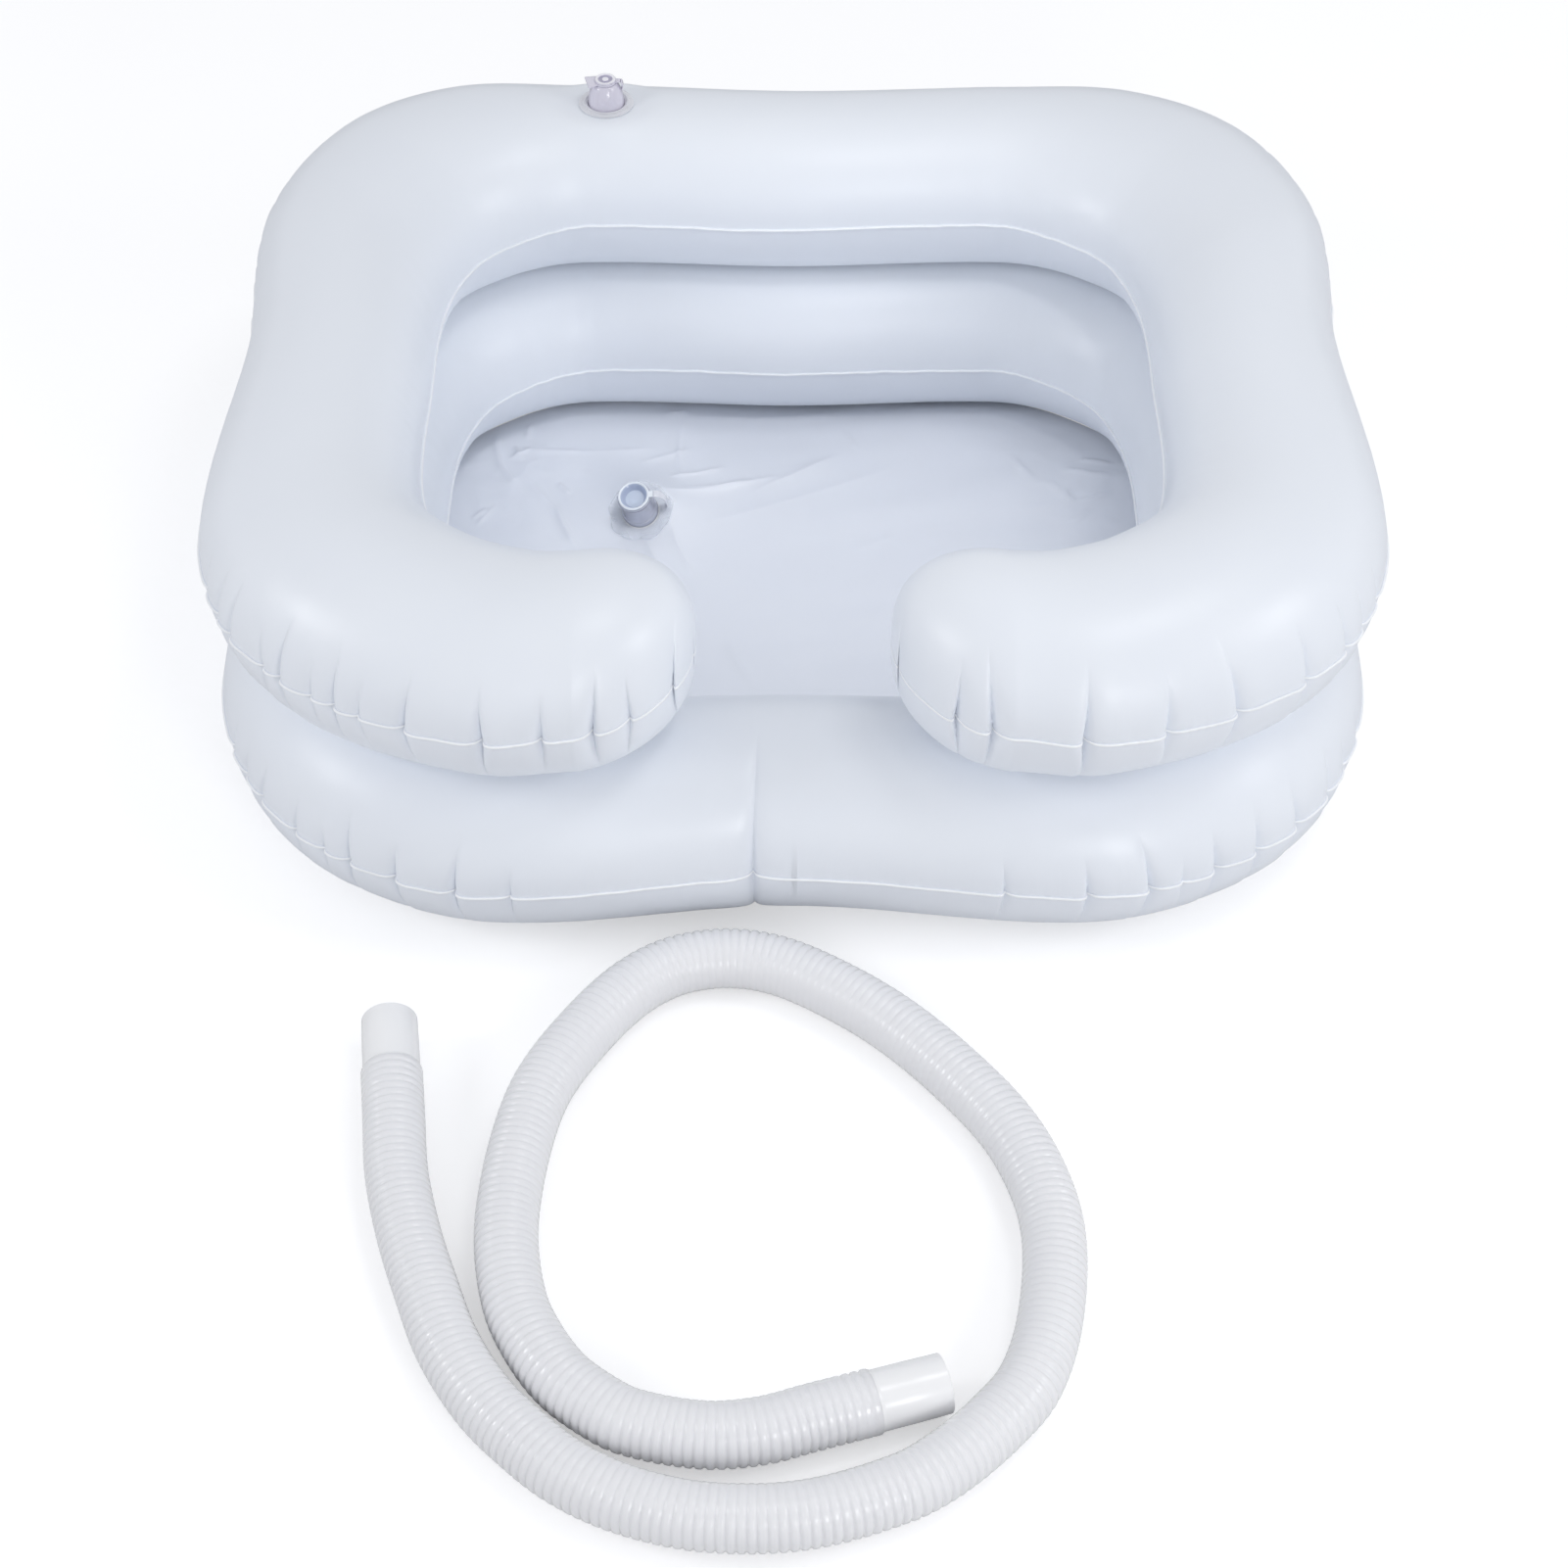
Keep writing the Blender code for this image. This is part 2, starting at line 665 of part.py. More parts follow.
def stem_radius(share):
    """Radius of a valve's bell-shaped stem at a share of its height."""
    return STEM_BASE_RADIUS + (STEM_TOP_RADIUS - STEM_BASE_RADIUS) * share ** STEM_ROUNDING


def make_valve(prefix, frame, group, cutters, clear):
    """Make one air valve: flange, push-in stem, check flap, strap and stopper."""
    hole = STEM_BASE_RADIUS + STEM_CLEARANCE
    flange = turned_mesh(prefix + "_flange", (
        (VALVE_RING_RADIUS, VALVE_RING_HEIGHT),
        (VALVE_RING_RADIUS + VALVE_FLANGE_THICKNESS, VALVE_FLANGE_THICKNESS),
        (VALVE_FLANGE_RADIUS, VALVE_FLANGE_THICKNESS / 2),
        (VALVE_FLANGE_RADIUS, 0.0),
        (hole, 0.0),
        (hole, VALVE_RING_HEIGHT),
    ), cutters)
    shade(make_object(prefix + "_flange", flange, group, clear, frame))

    under = -SHEET - 2 * FIT_GAP
    sides = [(stem_radius(share), STEM_HEIGHT * share) for share in STEM_SIDE_shares]
    stem = turned_mesh(prefix + "_stem", (
        (STEM_TOP_RADIUS, STEM_HEIGHT),
        *sides,
        (STEM_BASE_RADIUS, 0.0),
        (STEM_BASE_RADIUS, under),
        (STEM_BASE_RADIUS + STEM_LIP, under),
        (STEM_BASE_RADIUS + STEM_LIP, under - STEM_LIP_THICKNESS),
        (STEM_MOUTH_RADIUS, under - STEM_LIP_THICKNESS),
        (STEM_BORE_RADIUS, STEM_HEIGHT * BORE_share),
        (STEM_BORE_RADIUS, STEM_HEIGHT),
    ), cutters)
    shade(make_object(prefix + "_stem", stem, group, clear, frame))

    flap_top = under - STEM_LIP_THICKNESS - FIT_GAP
    flap_radius = STEM_MOUTH_RADIUS + FLAP_OVERLAP
    flap_axis = make_empty(prefix + "_flap_axis", group, Matrix.Translation(
        (flap_radius, 0, flap_top - FLAP_THICKNESS / 2)), frame)
    flap = turned_mesh(prefix + "_check_flap", (
        (0.0, FLAP_THICKNESS / 2),
        (flap_radius, FLAP_THICKNESS / 2),
        (flap_radius, -FLAP_THICKNESS / 2),
        (0.0, -FLAP_THICKNESS / 2),
    ), cutters)
    disc = make_object(prefix + "_check_flap", flap, group, clear, flap_axis)
    disc.location.x = -flap_radius
    shade(disc)

    head_low = STEM_HEIGHT + FIT_GAP
    pivot = (STOPPER_HEAD_RADIUS + STRAP_REACH, head_low + STRAP_THICKNESS)
    foot = (stem_radius(STRAP_FOOT_share) + STRAP_THICKNESS / 2 + FIT_GAP,
            STEM_HEIGHT * STRAP_FOOT_share)
    band = make_band(prefix + "_strap", strap_path(foot, pivot, STRAP_BULGE), STRAP_WIDTH,
                     STRAP_THICKNESS, group, clear, frame)
    shade(band)

    stopper_axis = make_empty(prefix + "_stopper_axis", group, Matrix.Translation(
        (pivot[0], 0, pivot[1])), frame)
    head_top = head_low + STOPPER_HEAD_THICKNESS
    pin_radius = STEM_BORE_RADIUS - STOPPER_PIN_CLEARANCE
    stopper = turned_mesh(prefix + "_stopper", (
        (0.0, head_top),
        (STOPPER_NUB_RADIUS, head_top),
        (STOPPER_NUB_RADIUS, head_top - STOPPER_RECESS_DEPTH),
        (STOPPER_RECESS_RADIUS, head_top - STOPPER_RECESS_DEPTH),
        (STOPPER_RECESS_RADIUS, head_top),
        (STOPPER_HEAD_RADIUS - STRAP_THICKNESS / 2, head_top),
        (STOPPER_HEAD_RADIUS, head_top - STRAP_THICKNESS / 2),
        (STOPPER_HEAD_RADIUS, head_low),
        (pin_radius, head_low),
        (pin_radius, head_low - STOPPER_PIN_LENGTH / 3),
        (pin_radius - STOPPER_PIN_TAPER, head_low - STOPPER_PIN_LENGTH),
        (0.0, head_low - STOPPER_PIN_LENGTH),
    ), cutters)
    body = make_object(prefix + "_stopper", stopper, group, clear, stopper_axis)
    body.location = (-pivot[0], 0, -pivot[1])
    neck = (STOPPER_HEAD_RADIUS + STOPPER_RECESS_RADIUS) / 2
    length = STOPPER_HEAD_RADIUS + PULL_TAB_LENGTH - neck
    edge = [(-neck - length * along, PULL_TAB_WIDTH * across)
            for along, across in PULL_TAB_shares]
    outline = edge + [(x, -y) for x, y in reversed(edge)]
    tab = make_object(prefix + "_pull_tab", outline_mesh(prefix + "_pull_tab", outline,
                      STRAP_THICKNESS, cutters), cutters, parent=body)
    tab.location.z = head_low + STRAP_THICKNESS * 0.75
    stub = box_object(prefix + "_stopper_stub", neck, pivot, cutters, body)
    for joined in (tab, stub):
        cut_with(body, joined, "UNION")
    shade(body)


def make_drain(frame, group, cutters, clear):
    """Make the drain: welded flange, spout, strap, and the plug in its mouth."""
    flange_top = DRAIN_FLANGE_THICKNESS
    flange = turned_mesh("drain_flange", (
        (DRAIN_COLLAR_RADIUS + DRAIN_WALL, flange_top),
        (DRAIN_FLANGE_RADIUS, DRAIN_FLANGE_THICKNESS / 2),
        (DRAIN_FLANGE_RADIUS, 0.0),
        (DRAIN_FOOT_RADIUS + FIT_GAP, 0.0),
        (DRAIN_FOOT_RADIUS + FIT_GAP, flange_top),
    ), cutters, DRAIN_TURN_STEPS)
    shade(make_object("drain_flange", flange, group, clear, frame))

    seat = flange_top + FIT_GAP
    spout = turned_mesh("drain_spout", (
        (DRAIN_SPOUT_RADIUS, DRAIN_SPOUT_HEIGHT),
        (DRAIN_SPOUT_RADIUS, DRAIN_SPOUT_HEIGHT - DRAIN_WALL),
        (DRAIN_SPOUT_RADIUS - DRAIN_WALL / 4, DRAIN_SPOUT_HEIGHT - 2 * DRAIN_WALL),
        (DRAIN_COLLAR_RADIUS - DRAIN_WALL, seat + DRAIN_COLLAR_HEIGHT),
        (DRAIN_COLLAR_RADIUS, seat + DRAIN_COLLAR_HEIGHT - DRAIN_WALL),
        (DRAIN_COLLAR_RADIUS, seat),
        (DRAIN_FOOT_RADIUS, seat),
        (DRAIN_FOOT_RADIUS, -SHEET - FIT_GAP),
        (DRAIN_BORE_RADIUS, -SHEET - FIT_GAP),
        (DRAIN_BORE_RADIUS, DRAIN_SPOUT_HEIGHT),
    ), cutters, DRAIN_TURN_STEPS)
    shade(make_object("drain_spout", spout, group, clear, frame))

    rim_low = DRAIN_SPOUT_HEIGHT + FIT_GAP
    rim_top = rim_low + PLUG_RIM_THICKNESS
    pivot = (PLUG_RIM_RADIUS + STRAP_REACH, rim_low + PLUG_RIM_THICKNESS / 2)
    foot = (DRAIN_COLLAR_RADIUS + STRAP_THICKNESS / 2 + FIT_GAP,
            seat + DRAIN_COLLAR_HEIGHT / 2)
    band = make_band("drain_strap", strap_path(foot, pivot, DRAIN_STRAP_BULGE), STRAP_WIDTH,
                     STRAP_THICKNESS, group, clear, frame)
    shade(band)

    axis = make_empty("drain_plug_axis", group,
                      Matrix.Translation((pivot[0], 0, pivot[1])), frame)
    plug_radius = DRAIN_BORE_RADIUS - PLUG_CLEARANCE
    plug = turned_mesh("drain_plug", (
        (0.0, rim_low - PLUG_DEPTH + DRAIN_WALL),
        (PLUG_CUP_RADIUS, rim_low - PLUG_DEPTH + DRAIN_WALL),
        (PLUG_CUP_RADIUS + PLUG_TAPER / 2, rim_top),
        (PLUG_RIM_RADIUS, rim_top),
        (PLUG_RIM_RADIUS, rim_low),
        (plug_radius, rim_low),
        (plug_radius - PLUG_TAPER, rim_low - PLUG_DEPTH),
        (0.0, rim_low - PLUG_DEPTH),
    ), cutters, DRAIN_TURN_STEPS)
    body = make_object("drain_plug", plug, group, clear, axis)
    body.location = (-pivot[0], 0, -pivot[1])
    cut_with(body, box_object("drain_plug_stub", plug_radius, pivot, cutters, body), "UNION")
    shade(body)


def hose_line():
    """Closely spaced centre points of the hose, with its straight ends."""
    height = HOSE_DIAMETER / 2 + HOSE_LIFT
    route = [Vector((x, y, height)) for x, y in HOSE_ROUTE]
    fine = 24
    count = (len(route) - 1) * fine
    line = [smooth_point(route, number / fine) for number in range(count + 1)]
    start_out = (line[0] - line[1]).normalized()
    end_out = (line[-1] - line[-2]).normalized()
    return ([line[0] + start_out * HOSE_DIAMETER] + line + [line[-1] + end_out * HOSE_DIAMETER],
            start_out, end_out)


def spaced(line, count):
    """Read a line of points again as a number of evenly spaced ones."""
    lengths = [0.0]
    for before, after in zip(line, line[1:]):
        lengths.append(lengths[-1] + (after - before).length)
    points = []
    index = 0
    for number in range(count):
        goal = lengths[-1] * number / (count - 1)
        while index < len(line) - 2 and lengths[index + 1] < goal:
            index += 1
        share = (goal - lengths[index]) / (lengths[index + 1] - lengths[index])
        points.append(line[index].lerp(line[index + 1], share))
    return points, lengths[-1]


def tube_object(name, points, radii, depth, group, material=None):
    """Make a capped tube along points as a closed mesh."""
    curve = bpy.data.curves.new(name + "_line", "CURVE")
    curve.dimensions = "3D"
    curve.bevel_depth = depth
    curve.bevel_resolution = 2
    curve.use_fill_caps = True
    spline = curve.splines.new("POLY")
    spline.points.add(len(points) - 1)
    for control, point, radius in zip(spline.points, points, radii):
        control.co = (*point, 1.0)
        control.radius = radius
    guide = bpy.data.objects.new(name + "_line", curve)
    group.objects.link(guide)
    return make_object(name, evaluated_mesh(name, guide), group, material)


def make_hose(group, cutters, milky):
    """Make the ribbed hose with its bore, and a smooth cuff at each end."""
    line, start_out, end_out = hose_line()
    points, length = spaced(line, HOSE_RIBS * 2 + 1)
    valley = 1.0 - HOSE_RIB_DEPTH / (HOSE_DIAMETER / 2)
    radii = [1.0 if number % 2 else valley for number in range(len(points))]
    hose = tube_object("drain_hose", points, radii, HOSE_DIAMETER / 2, group, milky)
    overrun = [line[0] + start_out * CUT_OVERRUN] + line + [line[-1] + end_out * CUT_OVERRUN]
    bore_points, _ = spaced(overrun, HOSE_BORE_POINTS)
    bore = tube_object("drain_hose_bore", bore_points, [1.0] * len(bore_points), HOSE_BORE / 2,
                       cutters)
    cut_with(hose, bore)
    shade(hose)
    for name, end, out in (("hose_inlet_cuff", line[0], start_out),
                           ("hose_outlet_cuff", line[-1], end_out)):
        outer = CUFF_DIAMETER / 2
        cuff = turned_mesh(name, (
            (outer, CUFF_LENGTH),
            (outer, 0.0),
            (outer - CUFF_WALL, 0.0),
            (outer - CUFF_WALL, CUFF_LENGTH),
        ), cutters)
        thing = make_object(name, cuff, group, milky)
        thing.rotation_mode = "QUATERNION"
        thing.rotation_quaternion = out.to_track_quat("Z", "Y")
        thing.location = end + out * FIT_GAP
        shade(thing)
    print("hose", round(length + 2 * (CUFF_LENGTH + FIT_GAP), 4), "m over its cuffs")
    print("hose least gap to itself", round(least_gap(line) / MM, 2), "mm")
    print("hose least gap to a cuff", round(cuff_gap(line, start_out, end_out) / MM, 2), "mm")


def least_gap(line):
    """Least gap between stretches of the hose that are not neighbours."""
    points, length = spaced(line, 400)
    apart = int(3 * HOSE_DIAMETER / length * len(points))
    least = length
    for number, here in enumerate(points):
        for other in points[number + apart:]:
            least = min(least, (here - other).length)
    return least - HOSE_DIAMETER


def cuff_gap(line, start_out, end_out):
    """Least gap from the sides of a cuff to the far stretches of the hose."""
    points, length = spaced(line, 400)
    apart = int(3 * HOSE_DIAMETER / length * len(points))
    least = length
    for end, out, stretch in ((line[0], start_out, points[apart:]),
                              (line[-1], end_out, points[:-apart])):
        across = Vector((-out.y, out.x, 0.0)) * CUFF_DIAMETER / 2
        for share in (0.0, 0.5, 1.0):
            middle = end + out * (FIT_GAP + CUFF_LENGTH * share)
            for edge in (middle + across, middle - across):
                least = min(least, min((edge - point).length for point in stretch))
    return least - HOSE_DIAMETER / 2


def build():
    """Build the whole basin."""
    clear_scene()
    group = make_collection("shampoo_basin")
    cutters = make_collection("cutters")
    skin = make_material("white_pvc_skin", (0.82, 0.84, 0.89), 0.34)
    floor_skin = make_material("floor_pvc_film", (0.76, 0.79, 0.88), 0.28)
    valve_clear = make_material("valve_clear_pvc", (0.62, 0.58, 0.70), 0.18, 0.75)
    drain_clear = make_material("drain_clear_pvc", (0.55, 0.61, 0.72), 0.16, 0.75)
    milky = make_material("hose_milky_plastic", (0.80, 0.81, 0.84), 0.38)
    lower, frames = make_rings(group, cutters, skin)
    drain_frame = make_floor(group, floor_skin, lower)
    make_valve("upper_valve", frames["upper_ring_top_sheet"], group, cutters, valve_clear)
    make_valve("lower_valve", frames["lower_ring_top_sheet"], group, cutters, valve_clear)
    make_drain(drain_frame, group, cutters, drain_clear)
    make_hose(group, cutters, milky)


build()
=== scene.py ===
# %% [markdown]
# # A portable inflatable shampoo basin
#
# The basin is two air rings of soft white PVC, one on the other, with a thin film as
# its floor. The lower ring is closed. The upper ring is open in front, where the neck
# lies, and ends there in two rounded lips. A clear air valve stands on each ring, a
# clear drain leans over in the well, and its ribbed hose lies loose in front.
#
# A model of the plain solids is loaded first. It says where each piece is and how it
# moves. Everything below gives the same pieces their real skin: puffed and pinched
# sheets, a creased floor film, clear fittings and a corrugated hose. Lengths are in
# metres and +Z is up.

# %% Load the solids
import math

import bmesh
import bpy
import numpy as np
from mathutils import Matrix, Vector, noise


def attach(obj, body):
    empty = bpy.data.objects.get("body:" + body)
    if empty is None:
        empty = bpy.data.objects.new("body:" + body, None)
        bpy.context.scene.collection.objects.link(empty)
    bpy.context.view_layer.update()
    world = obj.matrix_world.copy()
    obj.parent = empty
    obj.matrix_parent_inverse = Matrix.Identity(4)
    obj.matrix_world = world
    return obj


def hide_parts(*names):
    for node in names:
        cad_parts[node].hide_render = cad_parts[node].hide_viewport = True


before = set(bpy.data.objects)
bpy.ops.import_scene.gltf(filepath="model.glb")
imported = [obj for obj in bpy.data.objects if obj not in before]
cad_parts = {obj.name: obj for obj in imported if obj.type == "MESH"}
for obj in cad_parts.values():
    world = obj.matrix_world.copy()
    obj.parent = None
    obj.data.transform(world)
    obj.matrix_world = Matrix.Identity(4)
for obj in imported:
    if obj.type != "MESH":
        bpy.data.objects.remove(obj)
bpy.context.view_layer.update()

# %% [markdown]
# ## Camera
#
# The photograph looks down on the basin at 45 degrees from 1.8 m away, with a long
# lens, so its far side is hardly smaller than its near side. The camera is turned to
# a point on the floor in front of the basin, because the hose takes up the lower half
# of the picture. Turning it is better than shifting the lens, because a shift would
# also bend every other view of the model.

# %% Camera at the photograph's place
SIGHT_POINT = Vector((-0.0048, -0.1351, 0.0))
SIGHT_DISTANCE = 1.8
SIGHT_HEIGHT = math.radians(45)
LENS_MM, SENSOR_MM = 75.12, 36


def add_object(name, data):
    """Add an object to the scene."""
    made = bpy.data.objects.new(name, data)
    bpy.context.scene.collection.objects.link(made)
    return made


def look(thing, place, way):
    """Put a camera or a lamp at a place and turn it to look some way."""
    thing.location = place
    thing.rotation_euler = way.to_track_quat("-Z", "Y").to_euler()


camera_data = bpy.data.cameras.new("studio_camera")
camera_data.lens = LENS_MM
camera_data.sensor_width = SENSOR_MM
camera = add_object("studio_camera", camera_data)
back = Vector((0, -math.cos(SIGHT_HEIGHT), math.sin(SIGHT_HEIGHT)))
look(camera, SIGHT_POINT + back * SIGHT_DISTANCE, -back)
bpy.context.scene.camera = camera
print("camera at", [round(value, 3) for value in camera.location])

# %% [markdown]
# ## Helpers for meshes
#
# Most pieces here are long skins that follow a line, so they start as a grid of
# points: one row for each place along the line, one column for each place across it.
# Numpy works out all the points at once, and Blender gets them in one call, which is
# hundreds of times faster than adding vertices one by one. Each grid gets a UV map in
# metres, along and across, so that a material can put its grain the right way round.

# %% Grid of points to mesh
def grid_piece(name, points, close_rows=False, close_columns=False, keep=None, uv=None,
               marked=None):
    """Make an object from rows of points.

    keep says which faces stay, and faces whose points are marked with a number get the
    material of that number.
    """
    rows, columns = points.shape[:2]
    row_index = np.arange(rows if close_rows else rows - 1)
    column_index = np.arange(columns if close_columns else columns - 1)
    near, left = np.meshgrid(row_index, column_index, indexing="ij")
    far, right = (near + 1) % rows, (left + 1) % columns
    faces = np.stack([near * columns + left, near * columns + right,
                      far * columns + right, far * columns + left], axis=-1)
    if keep is not None:
        faces = faces[keep[near, left]]
    faces = faces.reshape(-1, 4)
    marks = marked.reshape(-1)[faces] if marked is not None else None
    mesh = bpy.data.meshes.new(name)
    mesh.vertices.add(rows * columns)
    mesh.vertices.foreach_set("co", points.reshape(-1).astype(np.float32))
    mesh.loops.add(faces.size)
    mesh.loops.foreach_set("vertex_index", faces.reshape(-1).astype(np.int32))
    mesh.polygons.add(len(faces))
    mesh.polygons.foreach_set("loop_start", np.arange(0, faces.size, 4, dtype=np.int32))
    if marks is not None:
        numbers = np.where((marks > 0).sum(1) >= 3, marks.max(1), 0)
        mesh.polygons.foreach_set("material_index", numbers.astype(np.int32))
    if uv is not None:
        layer = mesh.uv_layers.new(name="surface_metres")
        layer.data.foreach_set("uv", uv.reshape(-1, 2)[faces.reshape(-1)].reshape(-1)
                               .astype(np.float32))
    mesh.update(calc_edges=True)
    mesh.validate()
    return add_object(name, mesh)


def clean_and_smooth(piece, merge=0.00002, sharp=math.radians(50)):
    """Weld points that fall together, drop loose ones, and shade the piece smooth."""
    shape = bmesh.new()
    shape.from_mesh(piece.data)
    bmesh.ops.remove_doubles(shape, verts=shape.verts, dist=merge)
    bmesh.ops.dissolve_degenerate(shape, edges=shape.edges, dist=merge)
    loose = [point for point in shape.verts if not point.link_faces]
    bmesh.ops.delete(shape, geom=loose, context="VERTS")
    bmesh.ops.recalc_face_normals(shape, faces=shape.faces)
    shape.to_mesh(piece.data)
    shape.free()
    piece.data.shade_smooth()
    piece.data.set_sharp_from_angle(angle=sharp)
    print(piece.name, len(piece.data.polygons), "faces")
    return piece


def smooth_line(points, places):
    """Read a smooth curve through the points at places counted in points."""
    points = np.asarray(points, float)
    last = len(points) - 1
    index = np.clip(np.floor(places).astype(int), 0, last - 1)
    share = (places - index)[:, None]
    before = points[np.maximum(index - 1, 0)]
    start, end = points[index], points[index + 1]
    after = points[np.minimum(index + 2, last)]

    def length(a, b):
        return np.linalg.norm(b - a, axis=1)[:, None]

    here = length(start, end)
    slope_start = (end - before) / (length(before, start) + here) * here
    slope_end = (after - start) / (here + length(end, after)) * here
    square, cube = share ** 2, share ** 3
    return (start * (2 * cube - 3 * square + 1) + slope_start * (cube - 2 * square + share)
            + end * (3 * square - 2 * cube) + slope_end * (cube - square))


def distance_along(line):
    """Distance from the first point of a line to each of its points."""
    steps = np.linalg.norm(np.diff(line, axis=0), axis=1)
    return np.concatenate([[0.0], np.cumsum(steps)])


# %% [markdown]
# ## Drain hose
#
# The hose is a soft corrugated tube, 31 mm wide and 1.38 m long over its smooth end
# sleeves. It lies flat on the floor in one big loop, with a smaller turn inside it.
# A curve with a bevel could make the tube, but not its ribs: there are about 300 of
# them, 4.4 mm apart and less than a millimetre deep. So rings are strung along the
# line. A rib has a flat top, two shoulders and a narrow groove on either side, and the
# shoulders are what glints. On the outer side of a bend the ribs are pulled apart, so
# their grooves are deeper there and nearly closed on the inner side.

# %% Line of the hose
HOSE_DIAMETER = 0.031
HOSE_HEIGHT = HOSE_DIAMETER / 2 + 0.0003
HOSE_ROUTE = [
    (-0.197, -0.385), (-0.193, -0.418), (-0.184, -0.455), (-0.174, -0.485), (-0.161, -0.519),
    (-0.143, -0.549), (-0.125, -0.569), (-0.103, -0.588), (-0.076, -0.602), (-0.040, -0.611),
    (0.004, -0.610), (0.048, -0.596), (0.070, -0.582), (0.092, -0.561), (0.108, -0.540),
    (0.119, -0.507), (0.124, -0.462), (0.120, -0.429), (0.106, -0.392), (0.081, -0.356),
    (0.051, -0.323), (0.022, -0.300), (-0.008, -0.283), (-0.035, -0.278), (-0.062, -0.284),
    (-0.085, -0.301), (-0.108, -0.332), (-0.124, -0.362), (-0.132, -0.391), (-0.137, -0.430),
    (-0.137, -0.462), (-0.131, -0.495), (-0.122, -0.516), (-0.108, -0.537), (-0.092, -0.551),
    (-0.075, -0.561), (-0.042, -0.568), (-0.016, -0.566), (0.007, -0.559),
]
BEND_POINTS = 1800
bends = smooth_line(HOSE_ROUTE, np.linspace(0, len(HOSE_ROUTE) - 1, BEND_POINTS))
start_out = (bends[0] - bends[1]) / np.linalg.norm(bends[0] - bends[1])
end_out = (bends[-1] - bends[-2]) / np.linalg.norm(bends[-1] - bends[-2])
hose_line = np.vstack([bends[0] + start_out * HOSE_DIAMETER, bends,
                       bends[-1] + end_out * HOSE_DIAMETER])
hose_length = distance_along(hose_line)[-1]
print("ribbed hose is", round(hose_length, 3), "m long")

# %% Ribs of the hose
RIB_PITCH = 0.0044
RIB_DEPTH = 0.0009
RIB_GROOVE = (1.0, 0.62, 0.10, 0.0, 0.0, 0.0, 0.10, 0.62)
RINGS_PER_RIB = len(RIB_GROOVE)
HOSE_SIDES = 40
PLAIN_END, PLAIN_GROOVE, END_CUT = 0.0015, 0.2, 0.0006
BEND_BLUR = 60
OPENING = 5.0


def even_points(line, count):
    """Read a line again as evenly spaced points, with their distances along it."""
    along = distance_along(line)
    places = np.linspace(0, along[-1], count)
    return np.stack([np.interp(places, along, line[:, axis]) for axis in range(2)], 1), places


ribs = round(hose_length / RIB_PITCH)
centres, places = even_points(hose_line, ribs * RINGS_PER_RIB + 1)
heading = np.gradient(centres, axis=0)
heading /= np.linalg.norm(heading, axis=1)[:, None]
sideways = np.stack([-heading[:, 1], heading[:, 0]], 1)
groove = np.array(RIB_GROOVE)[np.arange(len(centres)) % RINGS_PER_RIB]
end_gap = np.minimum(places, hose_length - places)
groove[end_gap < PLAIN_END] = PLAIN_GROOVE
turn = np.linspace(0, math.tau, HOSE_SIDES, endpoint=False)
bend = (np.gradient(heading, axis=0) * sideways).sum(1) / (places[1] - places[0])
blur = np.ones(2 * BEND_BLUR + 1) / (2 * BEND_BLUR + 1)
bend = np.convolve(np.pad(bend, BEND_BLUR, mode="edge"), blur, mode="valid")
open_side = np.clip(-bend * OPENING, -1, 1)[:, None] * np.cos(turn)[None]
depth = RIB_DEPTH * groove[:, None] * (0.72 + 0.50 * open_side)
radius = HOSE_DIAMETER / 2 - depth - np.where(end_gap < 0.0002, END_CUT, 0)[:, None]
hose_points = np.zeros((len(centres), HOSE_SIDES, 3))
hose_points[..., :2] = (centres[:, None] + sideways[:, None]
                        * (radius * np.cos(turn)[None])[..., None])
hose_points[..., 2] = HOSE_HEIGHT + radius * np.sin(turn)[None]
hose_uv = np.stack(np.broadcast_arrays(places[:, None], turn[None] * HOSE_DIAMETER / 2), -1)
hose = grid_piece("ribbed_hose", hose_points, close_columns=True, uv=hose_uv)
clean_and_smooth(hose, merge=0.000005, sharp=math.radians(70))
print(ribs, "ribs")

# %% [markdown]
# ## Sleeves of the hose
#
# Both ends of the hose are smooth sleeves, a little slimmer than the ribs, with a
# plain cut end and a wall that shows as a thin ring. A turned profile makes them, with
# enough sides that the outline stays round, and small steps round every edge, because
# a moulded edge always catches a little light.

# %% Turned shapes
def rounded(profile, radius, steps=3):
    """Round the corners of a closed profile of (radius, height) pairs."""
    points = [Vector(point) for point in profile]
    made = []
    for before, corner, after in zip(points[-1:] + points[:-1], points, points[1:] + points[:1]):
        if corner.x < 1e-9:
            made.append(tuple(corner))
            continue
        into, out = before - corner, after - corner
        cut = min(radius, into.length * 0.45, out.length * 0.45)
        first = corner + into.normalized() * cut
        last = corner + out.normalized() * cut
        for step in range(steps + 1):
            share = step / steps
            made.append(tuple(first.lerp(corner, share).lerp(corner.lerp(last, share), share)))
    return made


def turned_piece(name, profile, matrix, edge=0.0003, sides=64, closed=True):
    """Turn a profile about a frame's Z axis into a round piece."""
    outline = np.array(rounded(profile, edge) if edge else profile)
    angle = np.linspace(0, math.tau, sides, endpoint=False)
    points = np.zeros((sides, len(outline), 3))
    points[..., 0] = np.cos(angle)[:, None] * outline[None, :, 0]
    points[..., 1] = np.sin(angle)[:, None] * outline[None, :, 0]
    points[..., 2] = outline[None, :, 1]
    piece = grid_piece(name, points, close_rows=True, close_columns=closed)
    piece.data.transform(matrix)
    return clean_and_smooth(piece, merge=0.000002, sharp=math.radians(60))


